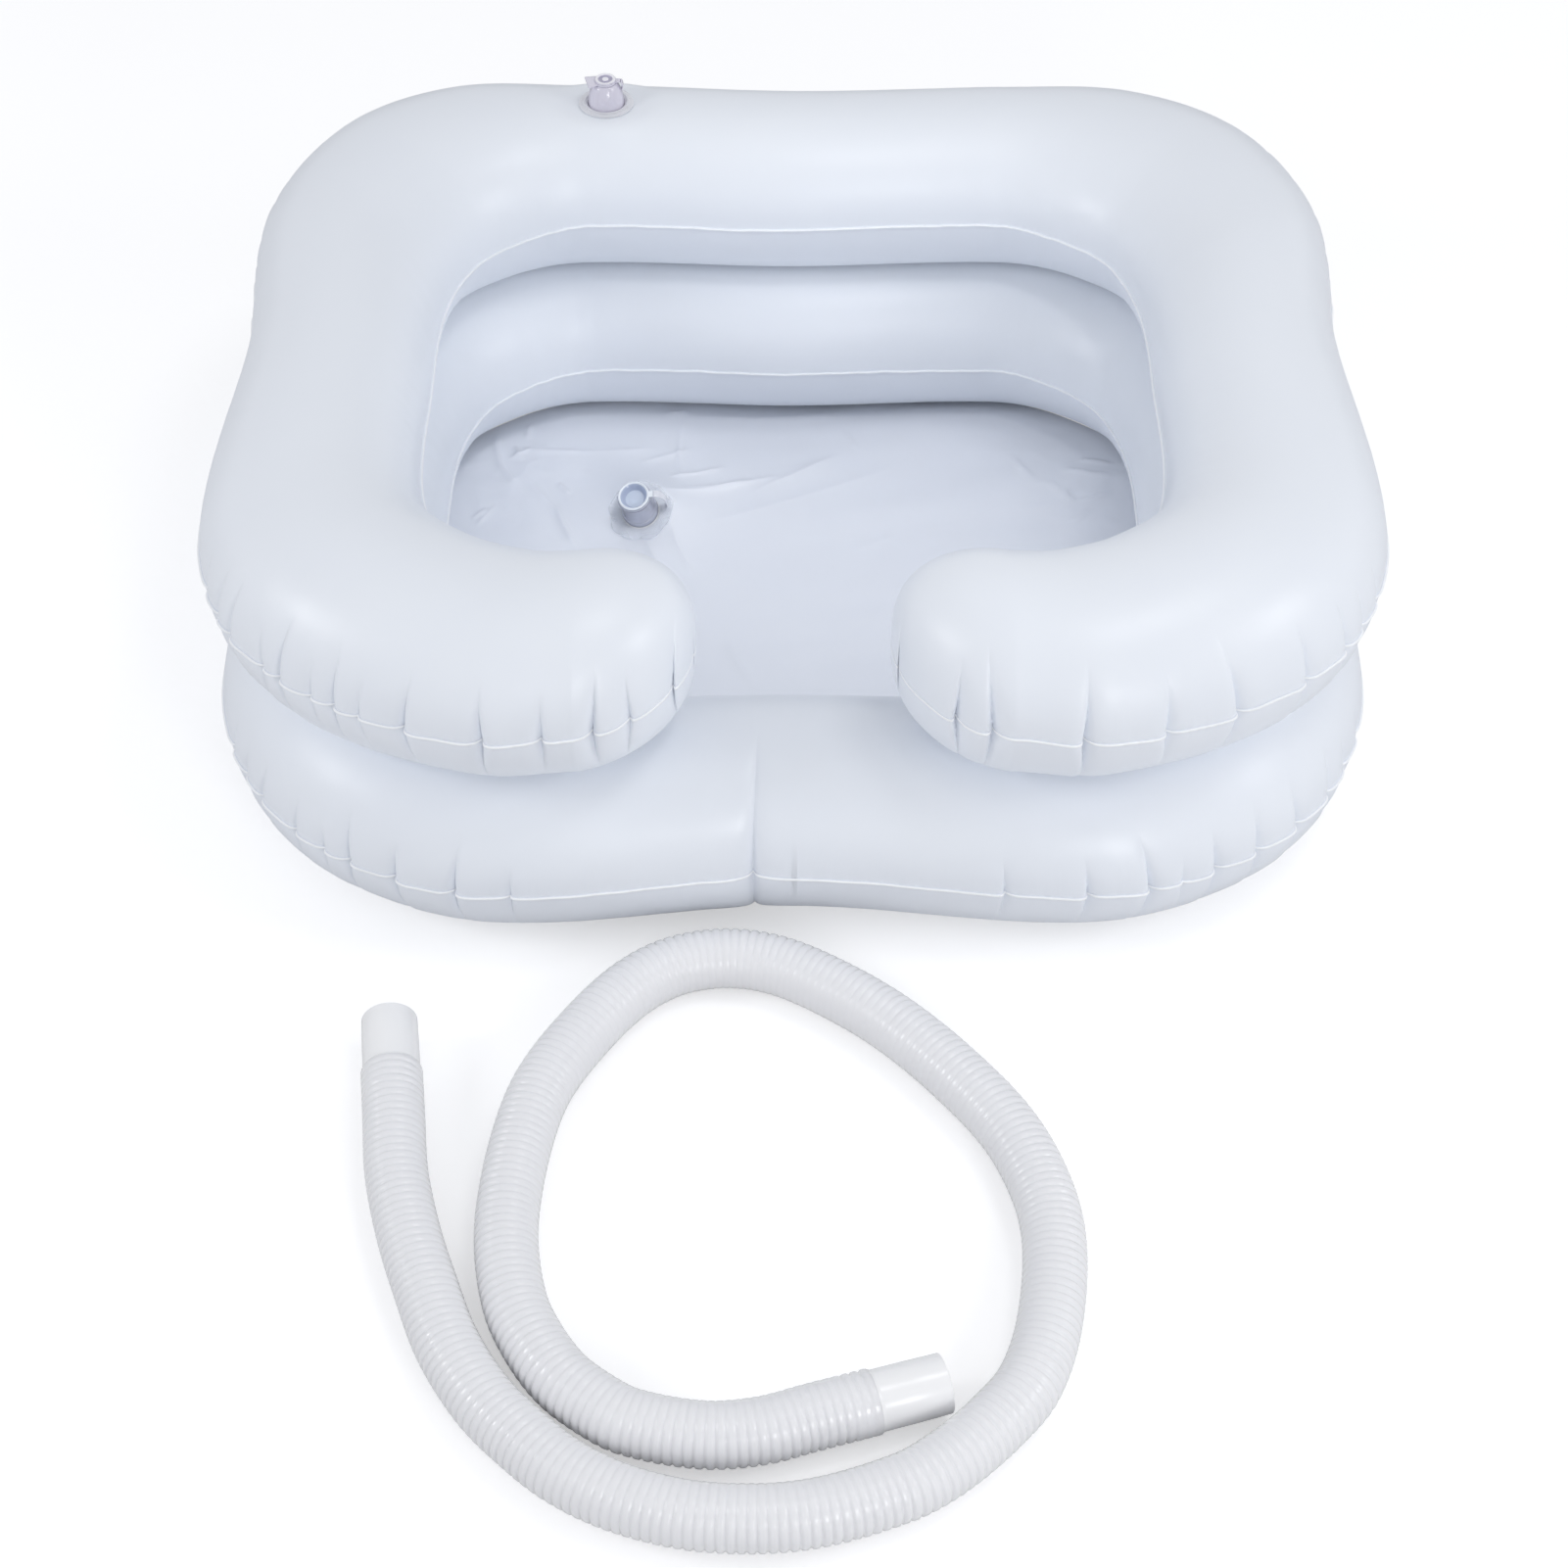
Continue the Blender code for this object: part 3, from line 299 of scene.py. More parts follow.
# %% The two sleeves
SLEEVE_RADIUS = 0.0144
SLEEVE_WALL = 0.0016
SLEEVE_LENGTH = 0.0340
sleeves = []
for name, end, out in (("inlet_sleeve", hose_line[0], start_out),
                       ("outlet_sleeve", hose_line[-1], end_out)):
    turned = Vector((*out, 0)).to_track_quat("Z", "Y").to_matrix().to_4x4()
    place = Matrix.Translation((*end, HOSE_HEIGHT)) @ turned
    sleeves.append(turned_piece(name, (
        (SLEEVE_RADIUS - 0.0002, SLEEVE_LENGTH),
        (SLEEVE_RADIUS, SLEEVE_LENGTH * 0.5),
        (SLEEVE_RADIUS, 0.0010),
        (SLEEVE_RADIUS + 0.0006, 0.0),
        (SLEEVE_RADIUS + 0.0006, -0.0016),
        (SLEEVE_RADIUS - SLEEVE_WALL, -0.0016),
        (SLEEVE_RADIUS - SLEEVE_WALL, SLEEVE_LENGTH),
    ), place, edge=0.0005))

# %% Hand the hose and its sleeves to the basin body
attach(hose, "basin")
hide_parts("drain_hose")
for sleeve, node in zip(sleeves, ("hose_inlet_cuff", "hose_outlet_cuff")):
    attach(sleeve, "basin")
    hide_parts(node)

# %% [markdown]
# ## Plan of an air ring
#
# Each ring is welded from two flat sheets, so all its shape comes from the outline
# that they are cut to. The outline is given by lines across the tube, each from the
# weld on the well side to the weld on the outside, as shares of the basin's half
# width and depth. A smooth curve runs through their ends.

# %% Outlines of both rings
BASIN_WIDTH, BASIN_DEPTH = 0.620, 0.541
WELL_WIDTH, WELL_DEPTH, WELL_SHIFT = 0.394, 0.3055, 0.0113
NECK_HALF = 0.049
LIP_SKEW = 0.0145
SHARED_LINES = [
    (0.000, 0.978, 0.000, 0.974), (0.403, 0.992, 0.599, 1.000), (0.661, 0.989, 0.772, 0.915),
    (0.871, 0.850, 0.914, 0.745), (0.981, 0.573, 0.987, 0.450), (0.974, 0.148, 1.000, -0.041),
    (1.000, -0.425, 0.995, -0.532),
]
LOWER_FRONT_LINES = [
    (0.919, -0.710, 0.924, -0.807), (0.768, -0.891, 0.761, -0.964),
    (0.516, -1.000, 0.584, -1.000), (0.000, -0.952, 0.000, -0.993),
]
UPPER_FRONT_LINES = [
    (0.923, -0.693, 0.929, -0.815), (0.774, -0.867, 0.775, -0.985),
    (0.523, -0.985, 0.635, -1.030), (0.348, -0.976, 0.548, -1.033),
    (0.160, -0.968, 0.250, -1.035),
]
CORNERS = (2.6, 7.6)
CORNER_SPAN = 1.5


def lines_of(front):
    """Outer and inner ends of a ring's lines on its right half, back to front."""
    shares = np.array(SHARED_LINES + front)
    outer = shares[:, :2] * (BASIN_WIDTH / 2, BASIN_DEPTH / 2)
    inner = shares[:, 2:] * (WELL_WIDTH / 2, WELL_DEPTH / 2) + (0, WELL_SHIFT)
    return outer, inner


def read_half(front, places, has_lips):
    """Ends of the lines across the right half of a ring at the given places."""
    ends = []
    for line in lines_of(front):
        first = line[1] * (-1, 1)
        full = np.vstack([first, line])
        if not has_lips:
            full = np.vstack([full, line[-2] * (-1, 1)])
        ends.append(smooth_line(full, places + 1))
    return ends


def corner_weight(places):
    """How much a place swells as a corner, from 0 to 1."""
    nearest = np.min([abs(places - corner) for corner in CORNERS], axis=0)
    return np.clip(1 - (nearest / CORNER_SPAN) ** 2, 0, None) ** 2


print("a ring has", len(SHARED_LINES) + len(LOWER_FRONT_LINES), "lines on each half")

# %% [markdown]
# ## Folds at the weld
#
# When flat sheets are blown up into a ring, the outer weld has to shorten, and it does
# so by pinching: every few centimetres the skin tucks into a short sharp fold that
# starts at the weld and dies out up the side. Between two folds the skin stands out as
# a small pillow. The folds that the photograph shows are listed by their place. The
# back corners, which it hides, get folds of the same kind at about the same distances.
# A cloth simulation would put its own folds in other places, so the skin is shaped
# directly: each fold pushes the nearby points in, most at the weld and less above it.

# %% Places of the folds, each with its strength
UPPER_FOLDS = [
    (-0.303, -0.154, 0.5), (-0.295, -0.174, 0.7), (-0.286, -0.188, 0.8), (-0.268, -0.213, 0.6),
    (-0.257, -0.220, 0.9), (-0.241, -0.234, 0.6), (-0.228, -0.240, 0.9), (-0.215, -0.247, 0.5),
    (-0.192, -0.255, 1.1), (-0.153, -0.262, 1.0), (-0.124, -0.262, 0.8), (-0.100, -0.257, 1.1),
    (-0.081, -0.250, 0.8), (-0.062, -0.228, 1.1), (-0.052, -0.204, 0.8),
    (0.053, -0.198, 0.7), (0.056, -0.212, 0.9), (0.083, -0.246, 1.1), (0.100, -0.254, 1.1),
    (0.143, -0.260, 1.2), (0.182, -0.255, 0.8), (0.217, -0.239, 1.2), (0.253, -0.218, 1.1),
    (0.275, -0.195, 1.0), (0.286, -0.179, 0.8), (0.295, -0.160, 0.6),
]
LOWER_FOLDS = [
    (-0.304, -0.164, 0.6), (-0.294, -0.184, 0.5), (-0.284, -0.202, 0.8), (-0.263, -0.225, 0.8),
    (-0.246, -0.239, 0.7), (-0.232, -0.249, 1.0), (-0.207, -0.260, 1.0), (-0.174, -0.266, 1.1),
    (-0.145, -0.267, 0.6),
    (0.109, -0.262, 0.5), (0.151, -0.262, 0.8), (0.181, -0.258, 1.1), (0.200, -0.260, 0.4),
    (0.216, -0.247, 1.0), (0.238, -0.235, 1.0), (0.259, -0.215, 1.0), (0.277, -0.193, 0.9),
    (0.287, -0.173, 0.7), (0.297, -0.150, 0.6),
]
BACK_FOLD_STEP = 0.024
rng = np.random.default_rng(11)


def back_folds(first_x=0.145, last_y=0.075):
    """Folds round both back corners, where no photograph shows them."""
    outer, _ = read_half(LOWER_FRONT_LINES, np.linspace(0, 6, 600), False)
    along = distance_along(outer)
    begin = along[np.argmax(outer[:, 0] > first_x)]
    end = along[np.argmax((outer[:, 1] < last_y) & (outer[:, 0] > 0.2))]
    made = []
    for side in (1, -1):
        here = begin + rng.uniform(0, BACK_FOLD_STEP)
        while here < end:
            made.append((side * np.interp(here, along, outer[:, 0]),
                         np.interp(here, along, outer[:, 1]), rng.uniform(0.5, 1.1)))
            here += BACK_FOLD_STEP * rng.uniform(0.7, 1.35)
    return made


UPPER_FOLDS += back_folds()
LOWER_FOLDS += back_folds()
print(len(UPPER_FOLDS), "folds on the upper ring,", len(LOWER_FOLDS), "on the lower")

# %% [markdown]
# ## Skin of an air ring
#
# A ring's skin is one closed surface. Rows run round the ring, and each row goes over
# the top from the outer weld to the inner one and back underneath. The tube is a
# little squashed circle; where it presses on the floor or on the other ring it is
# flat, and it turns into the flat smoothly, as blown skin does. Rows stand close
# together near a fold and wide apart on the plain stretches.

# %% Rows round a ring
TUBE_HEIGHT = 0.105
FIT_GAP = 0.0003
SHEET = 0.0004
LOWER_SEAM = TUBE_HEIGHT / 2
UPPER_SEAM = LOWER_SEAM + TUBE_HEIGHT + FIT_GAP
BEAD_WIDTH = 0.0015
BEAD_HALF = SHEET + FIT_GAP / 2
LIP_STEPS = 276
LIP_ROUND, LIP_FALL = 0.9, 0.7
PLAN_POINTS, FINE_POINTS = 1600, 12000
ROW_STEP = 0.0030
FOLD_STEPS = ((0.012, 0.0010), (0.0050, 0.0005))


def ring_plan(front, has_lips):
    """Ends across the whole ring, with each place's height share, swell and bareness."""
    last = len(SHARED_LINES) + len(LOWER_FRONT_LINES) - 1
    places = np.linspace(0, last, PLAN_POINTS)
    outer, inner = read_half(front, places, has_lips)
    height = np.ones(len(places))
    swell = corner_weight(places)
    if has_lips:
        turn = np.linspace(0, 1, LIP_STEPS)[1:]
        angle = turn * math.pi / 2
        middle = (outer[-1] + inner[-1]) / 2
        half = (outer[-1] - inner[-1]) / 2 * (np.cos(angle) ** LIP_ROUND)[:, None]
        tip = np.array([NECK_HALF, middle[1] + LIP_SKEW])
        centre = middle + (tip - middle) * np.sin(angle)[:, None]
        outer = np.vstack([outer, centre + half])
        inner = np.vstack([inner, centre - half])
        height = np.concatenate([height, np.clip(np.cos(angle), 0, 1) ** LIP_FALL])
        swell = np.concatenate([swell, np.full(len(turn), swell[-1])])
    bare = np.concatenate([np.clip(places - (last - 1), 0, None),
                           np.zeros(len(outer) - len(places))])
    keep = slice(None, 0, -1) if has_lips else slice(-2, 0, -1)
    return ([np.vstack([ends[keep] * (-1, 1), ends]) for ends in (outer, inner)]
            + [np.concatenate([shares[keep], shares]) for shares in (height, swell, bare)])


def place_of(point, outer, along):
    """Distance along the outer weld of the point on it that is nearest."""
    return along[np.argmin(np.linalg.norm(outer - np.array(point[:2]), axis=1))]


def rows_for(along, places):
    """Distances along the outer weld for the rows, close together near folds."""
    fine = np.linspace(0, along[-1], FINE_POINTS)
    near = np.min(np.abs(fine[:, None] - np.array(places)[None]), axis=1)
    step = np.full(len(fine), ROW_STEP)
    for reach, smaller in FOLD_STEPS:
        step[near < reach] = smaller
    count = np.concatenate([[0], np.cumsum(np.diff(fine) / step[:-1])])
    rows = round(count[-1])
    return np.interp(np.linspace(0, count[-1], rows + 1), count, fine)


print("the outer weld of the lower ring is",
      round(distance_along(ring_plan(LOWER_FRONT_LINES, False)[0])[-1], 3), "m round")

# %% [markdown]
# ## Shape of one fold
#
# A fold is deepest at the weld and dies out two to four centimetres up the side. Its
# middle is a sharp crease, and the skin beside it sinks in too, so that the stretches
# between two folds stand out as pillows. One wall is steeper than the other, because
# the spare skin tucks over to one side, here always away from the basin's middle. The
# steep wall catches the light and the other stays dark, and this pair of strokes is
# what the eye reads as a crease. The air has to go somewhere, so halfway between two
# folds the skin stands out a little more than it would without them.

# %% Depth of the folds at a point of the skin
FOLD_DEPTH = 0.0070
FOLD_WIDTH = 0.0086
UNDER_REACH = 0.040
STEEP_NARROW, GENTLE_NARROW = 0.0008, 0.0027
STEEP_SHARE = 0.34
CREASE_SHARE, HOLLOW_SHARE = 0.46, 0.60
PILLOW_SHARE, PILLOW_WIDTH = 0.26, 0.014


class Folds:
    """The folds of one ring: place along the weld, depth, reach, width and lean."""

    def __init__(self, places, sides, strengths, reach, seed, closed_length=None):
        """Give each fold its own depth, reach, width and lean."""
        spread = np.random.default_rng(seed)
        count = len(places)
        strengths = np.array(strengths)
        self.places = np.array(places)
        self.depth = FOLD_DEPTH * strengths * spread.uniform(0.85, 1.15, count)
        self.reach = reach * (0.35 + 0.65 * strengths) * spread.uniform(0.80, 1.20, count)
        self.wide = FOLD_WIDTH * spread.uniform(0.80, 1.20, count)
        self.lean = spread.uniform(-0.12, 0.12, count)
        self.under = UNDER_REACH * (0.5 + 0.5 * strengths) * spread.uniform(0.85, 1.15, count)
        self.steep = np.array(sides)
        self.closed_length = closed_length

    def at(self, along, climb, top):
        """How far the skin goes in, for points some way up from the weld."""
        away = along[..., None] - self.places - self.lean * climb[..., None]
        if self.closed_length:
            half = self.closed_length / 2
            away = (away + half) % self.closed_length - half
        away *= self.steep
        steep_side = away > 0
        away = np.abs(away)
        left = np.clip(1 - climb[..., None] / (self.reach if top else self.under), 0, 1)
        narrow = np.where(steep_side, STEEP_NARROW, GENTLE_NARROW) * (0.8 + 0.5 * (1 - left))
        wide = self.wide * np.where(steep_side, STEEP_SHARE, 1.0) * (0.50 + 0.50 * left)
        crease = CREASE_SHARE * left ** 0.9 * np.exp(-away / narrow)
        hollow = HOLLOW_SHARE * left ** 1.4 * np.exp(-away / wide)
        pillow = PILLOW_SHARE * left ** 1.2 * np.exp(-(away / PILLOW_WIDTH) ** 2)
        return (self.depth * (crease + hollow - pillow)).sum(-1)


print("a fold of full strength is", FOLD_DEPTH * 1000, "mm deep at the weld")

# %% [markdown]
# ## Columns over the tube
#
# Each column runs round the ring at one place over the tube. The first ones follow the
# rounded edge of the weld bead, then come the top sheet, the bead on the well side, and
# the bottom sheet on the way back. Seen across, a blown tube is nearly a circle. Where
# the other ring or the floor presses on it, it is cut off flat with a soft edge. At the
# back the underside leans in towards the well, and the upper ring sags a little there.

# %% How high the skin stands
SWELL = 0.0035
PRESS = 0.0015
PRESSED_FLAT = TUBE_HEIGHT / 2 - SHEET - FIT_GAP / 2
FREE_CROWN = 0.0526
FLAT_EDGE = 0.0016
BACK_START, BACK_RUN, BACK_LEAN = 0.09, 0.09, 0.42
BACK_DIPS = ((0.0021, 0.05, 0.16), (0.0042, 0.215, 0.10))
TOP_STEPS = 56
BEAD_TURNS = ((1.0, 0.0), (0.93, 0.62), (0.72, 0.95), (0.35, 1.0))


def section_angles(count):
    """Angles over the tube, closer together near both welds."""
    share = np.linspace(0, 1, count)
    return math.pi * (share - 0.085 * np.sin(share * math.tau))


def pressed_height(height):
    """Height of a skin that a flat holds down, rounded where it meets the flat."""
    gap = height - PRESSED_FLAT
    return PRESSED_FLAT + (gap - np.sqrt(gap ** 2 + FLAT_EDGE ** 2)) / 2


def bump_over(place, middle, reach):
    """A smooth bump, 1 at its middle and 0 past its reach."""
    return np.clip(1 - ((place - middle) / reach) ** 2, 0, 1) ** 2


def ring_crowns(middle, height, swell, bare, at_back, has_lips):
    """How far the top and the underside stand from the seam in the middle of each row."""
    crown = PRESSED_FLAT + PRESS + SWELL * swell
    if not has_lips:
        return (crown - PRESS * bare * 0.9) * height, crown * height
    dip = sum(deep * bump_over(middle[:, 0], x, reach) for deep, x, reach in BACK_DIPS)
    return (FREE_CROWN + SWELL * swell) * height - dip * at_back, crown * height


def tube_columns(half, bead, crowns, at_back, has_lips):
    """Reach across the tube and height of every column, and which are on top."""
    theta = section_angles(TOP_STEPS)
    side = half[:, None] * np.cos(theta)[None]
    across, lifted, tops = [], [], []
    for top, crown in zip((True, False), crowns):
        fullness = np.broadcast_to(np.sin(theta)[None], side.shape)
        if not top:
            leaning = np.clip(fullness, 0, 1) ** (1 + BACK_LEAN * at_back)[:, None]
            fullness = np.where((theta > math.pi / 2)[None], leaning, fullness)
        rise = crown[:, None] * fullness
        if not (top and has_lips):
            rise = np.maximum(pressed_height(rise), 0) * np.clip(np.sin(theta) * 12, 0, 1)[None]
        turns = BEAD_TURNS if top else BEAD_TURNS[1:]
        edge = [(half + bead * share, np.full(len(half), BEAD_HALF * lift))
                for share, lift in turns]
        columns = (edge + [(side[:, k], rise[:, k] + BEAD_HALF) for k in range(TOP_STEPS)]
                   + [(-reach, height) for reach, height in edge[::-1]])
        for reach, height in columns if top else columns[::-1]:
            across.append(reach)
            lifted.append(height if top else -height)
            tops.append(top)
    return np.stack(across, 1), np.stack(lifted, 1), np.array(tops)


print("a row has", 2 * TOP_STEPS + 4 * len(BEAD_TURNS) - 2, "points")

# %% [markdown]
# ## Fold, notch and valve in the skin
#
# Three more things shape the skin. The folds push it in along its own slope, most at
# the weld. The lower ring has one long notch in the middle of its front, where the skin
# buckles all the way up. And round each valve the skin lies flat against the welded
# base ring, with a hole for the stem.

# %% What pushes the skin in
VALVE_FLAT, VALVE_BLEND, VALVE_HOLE = 0.0175, 0.0340, 0.0114
VALVE_SINK = 0.0004
NOTCH_HOLLOW, NOTCH_CREASE, NOTCH_NARROW = 0.55, 0.45, 0.0014
FOLD_DROP = 0.6
RISE_FOR_SLOPE = 0.05


def notch_depth(notch, rows, climb, outer, along):
    """How far the front notch pushes the skin in."""
    place, deep, wide, reach = notch
    half_way = along[-1] / 2
    away = rows - place_of(place, outer, along)
    away = np.abs((away + half_way) % along[-1] - half_way)[:, None]
    left = np.clip(1 - climb / reach, 0, 1)
    hollow = NOTCH_HOLLOW * left * np.exp(-(away / (wide * (0.4 + 0.6 * left))) ** 1.2)
    crease = NOTCH_CREASE * left ** 0.6 * np.exp(-away / NOTCH_NARROW)
    return deep * (hollow + crease)


def push_in(points, cross, across, lifted, half, depth):
    """Move the points into the tube by a depth, along the slope of the skin."""
    slope = np.arccos(np.clip(across / np.maximum(half, 1e-6)[:, None], -1, 1))
    upward = (np.sin(slope) * np.sign(lifted)
              * np.clip(np.abs(lifted) / RISE_FOR_SLOPE, 0, 1))
    points[..., :2] -= cross[:, None] * (depth * np.cos(slope))[..., None]
    points[..., 2] -= depth * upward * FOLD_DROP


def seat_valve(points, tops, valve):
    """Flatten the skin round a valve and say which faces stay round its hole."""
    centre, x_axis, y_axis, z_axis = valve
    local = points - centre
    rise = local @ z_axis
    apart = np.hypot(local @ x_axis, local @ y_axis)
    near = (apart < VALVE_BLEND * 1.5) & (rise > -0.02) & tops[None]
    blend = np.clip((VALVE_BLEND - apart) / (VALVE_BLEND - VALVE_FLAT), 0, 1)
    blend = (blend * blend * (3 - 2 * blend)) * near
    points -= z_axis[None, None] * ((rise + VALVE_SINK) * blend)[..., None]
    hole = (apart < VALVE_HOLE) & near
    hole |= np.roll(hole, -1, 0)
    return ~(hole | np.roll(hole, -1, 1))


# %% [markdown]
# ## The whole skin
#
# Now the rows, the columns and what pushes them in come together. The seam wanders up
# and down by a millimetre, as a welded seam does, but the pressed flats stay flat. The
# faces of the bead get their own material, painted whiter as a highlight on the raised
# bead: bright outside, fainter on the well side.

# %% A ring's skin
SEAM_WANDER, SEAM_WIGGLE = (0.0010, 14), (0.0006, 75)
# Numbers of the bead materials, whose whiter colour is a painted highlight on the raised bead
OUTER_BEAD, WELL_BEAD = 1, 2


def noise_along(line, scale, seed):
    """Soft noise along a line of the plan."""
    return np.array([noise.noise(Vector((x * scale, y * scale, seed))) for x, y in line])


def ring_skin(name, front, has_lips, seam, folds, valve, reach, seed, notch=None):
    """Make the whole skin of one air ring, with its weld bead."""
    plan = ring_plan(front, has_lips)
    outer = plan[0]
    along = distance_along(outer if has_lips else np.vstack([outer, outer[:1]]))
    fold_places = [place_of(fold, outer, along) for fold in folds]
    rows = rows_for(along, fold_places + ([place_of(notch[0], outer, along)] if notch else []))
    if not has_lips:
        rows = rows[:-1]
        plan = [np.concatenate([values, values[:1]]) for values in plan]
    out, into = (np.stack([np.interp(rows, along, ends[:, k]) for k in range(2)], 1)
                 for ends in plan[:2])
    height, swell, bare = (np.interp(rows, along, shares) for shares in plan[2:])
    sides = [1 if fold[0] > 0 else -1 for fold in folds]
    pinches = Folds(fold_places, sides, [fold[2] for fold in folds], reach, seed,
                    None if has_lips else along[-1])

    middle = (out + into) / 2
    full = np.linalg.norm(out - into, axis=1)
    cross = (out - into) / np.maximum(full, 1e-6)[:, None]
    bead = np.minimum(BEAD_WIDTH, full * 0.25)
    half = full / 2 - bead
    at_back = np.clip((middle[:, 1] - BACK_START) / BACK_RUN, 0, 1)
    crowns = ring_crowns(middle, height, swell, bare, at_back, has_lips)
    across, lifted, tops = tube_columns(half, bead, crowns, at_back, has_lips)
    wander = (SEAM_WANDER[0] * noise_along(out, SEAM_WANDER[1], seed)
              + SEAM_WIGGLE[0] * noise_along(out, SEAM_WIGGLE[1], seed + 4)) * (height > 0.3)
    loose = np.clip(1 - np.abs(lifted) / PRESSED_FLAT, 0, 1)
    points = np.zeros((*across.shape, 3))
    points[..., :2] = middle[:, None] + cross[:, None] * across[..., None]
    points[..., 2] = seam + wander[:, None] * loose + lifted

    climb = np.hypot(np.clip(half[:, None] - across, 0, None),
                     np.maximum(np.abs(lifted) - BEAD_HALF, 0))
    row_places = np.broadcast_to(rows[:, None], across.shape)
    depth = np.zeros(across.shape)
    for top in (True, False):
        chosen = tops == top
        depth[:, chosen] = pinches.at(row_places[:, chosen], climb[:, chosen], top)
    depth *= (across > 0) * np.clip(height / 0.5, 0, 1)[:, None]
    if notch:
        depth += notch_depth(notch, rows, climb, plan[0], along) * (across > 0)
    push_in(points, cross, across, lifted, half, depth)
    keep = seat_valve(points, tops, valve)
    in_bead = np.abs(across) > half[:, None] + 0.0001
    piece = grid_piece(name, points, close_rows=not has_lips, close_columns=True,
                       keep=keep[:-1] if has_lips else keep,
                       uv=np.stack([row_places, climb], -1),
                       marked=in_bead * np.where(across < 0, WELL_BEAD, OUTER_BEAD))
    return clean_and_smooth(piece, merge=0.00004, sharp=math.radians(75))


# %% Both valve frames, as the solid model has them
def frame_axes(origin, x_axis, y_axis, z_axis):
    """Axes of a fitting's own frame, as arrays."""
    return [np.array(values, float) for values in (origin, x_axis, y_axis, z_axis)]


upper_valve = frame_axes((-0.108, 0.216016, 0.208532), (0.99998, -0.00699, 0.0),
                         (0.00699, 0.99998, 0.0), (0.0, 0.0, 1.0))
lower_valve = frame_axes((0.110456, 0.249373, 0.088964), (0.99977, 0.02164, 0.0),
                         (-0.0146, 0.67472, -0.73793), (-0.01597, 0.73775, 0.67488))

# %% Both skins
FRONT_NOTCH = ((-0.021, -0.252), 0.0072, 0.0080, 0.074)
lower_skin = ring_skin("lower_ring_skin", LOWER_FRONT_LINES, False, LOWER_SEAM, LOWER_FOLDS,
                       lower_valve, reach=0.026, seed=5, notch=FRONT_NOTCH)
upper_skin = ring_skin("upper_ring_skin", UPPER_FRONT_LINES, True, UPPER_SEAM, UPPER_FOLDS,
                       upper_valve, reach=0.036, seed=8)
for skin, prefix in ((lower_skin, "lower"), (upper_skin, "upper")):
    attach(skin, "basin")
    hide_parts(prefix + "_ring_bottom_sheet", prefix + "_ring_top_sheet")

# %% [markdown]
# ## Floor film
#
# The floor is one thin film, welded under the lower ring all round. It is stretched
# between that weld and the drain, so it lies nearly flat, with soft waves. Its ridges
# are listed one by one, each as a line in the plan with a height and a width. The long
# ones run from the drain to the right, the short ones crowd in the back corners, where
# the spare film gathers. Rows run out from the drain to the weld, closer together
# where the weld is far away, so that the mesh is equally fine everywhere.

# %% Where the film hangs
DRAIN_TILT = math.radians(25)
DRAIN_TOWARDS = math.radians(246)
DRAIN_FLANGE, DRAIN_HOLE = 0.0192, 0.0112
DRAIN_CENTRE = Vector((-0.0900, 0.0860, FIT_GAP + DRAIN_FLANGE * math.sin(DRAIN_TILT)))
FILM_BEARINGS, FILM_RINGS, FLANGE_RINGS = 780, 150, 6
FILM_CROWDING = 1.35
WELD_RISE = 0.0012
FILM_LOW = 0.0009
MOUND_REACH = 0.045
lean_axis = Vector((-math.sin(DRAIN_TOWARDS), math.cos(DRAIN_TOWARDS), 0))
drain_turn = Matrix.Rotation(DRAIN_TILT, 3, lean_axis)


def weld_under_ring():
    """The line under the lower ring where the film is welded to it."""
    outer, inner, _, swell, _ = ring_plan(LOWER_FRONT_LINES, False)
    reach = np.linalg.norm(outer - inner, axis=1)
    cross = (outer - inner) / reach[:, None]
    half = reach / 2 - BEAD_WIDTH
    crown = PRESSED_FLAT + PRESS + SWELL * swell
    turn = np.pi - np.arcsin(np.clip((PRESSED_FLAT - WELD_RISE) / crown, 0, 1))
    return (outer + inner) / 2 + cross * (half * np.cos(turn))[:, None]


def tilted_circle(radius):
    """Points of a circle round the drain, tilted with it."""
    return np.array([DRAIN_CENTRE + drain_turn @ Vector((x * radius, y * radius, 0))
                     for x, y in ways])


weld = weld_under_ring() - np.array(DRAIN_CENTRE.xy)
bearing = np.arctan2(weld[:, 1], weld[:, 0])
order = np.argsort(bearing)
fine_turn = np.linspace(-np.pi, np.pi, 4000)
fine_far = np.interp(fine_turn, bearing[order], np.linalg.norm(weld, axis=1)[order],
                     period=math.tau)
counted = np.concatenate([[0], np.cumsum(fine_far[:-1])])
turn = np.interp(np.linspace(0, counted[-1], FILM_BEARINGS, endpoint=False), counted, fine_turn)
far = np.interp(turn, fine_turn, fine_far)
ways = np.stack([np.cos(turn), np.sin(turn)], 1)
hole_edge, flange_edge = tilted_circle(DRAIN_HOLE), tilted_circle(DRAIN_FLANGE)
flange_reach = np.linalg.norm(flange_edge[:, :2] - DRAIN_CENTRE.xy[:], axis=1)
share = np.linspace(0, 1, FILM_RINGS) ** FILM_CROWDING
distance = flange_reach[:, None] + (far - flange_reach)[:, None] * share[None]
spot = np.array(DRAIN_CENTRE.xy)[None, None] + ways[:, None] * distance[..., None]
from_flange = np.linalg.norm(spot - flange_edge[:, None, :2], axis=-1)
mound = np.clip(1 - from_flange / MOUND_REACH, 0, 1)
base = FILM_LOW + (flange_edge[:, None, 2] - FILM_LOW) * mound ** 2
print("the weld is", far.min().round(3), "to", far.max().round(3), "m from the drain")

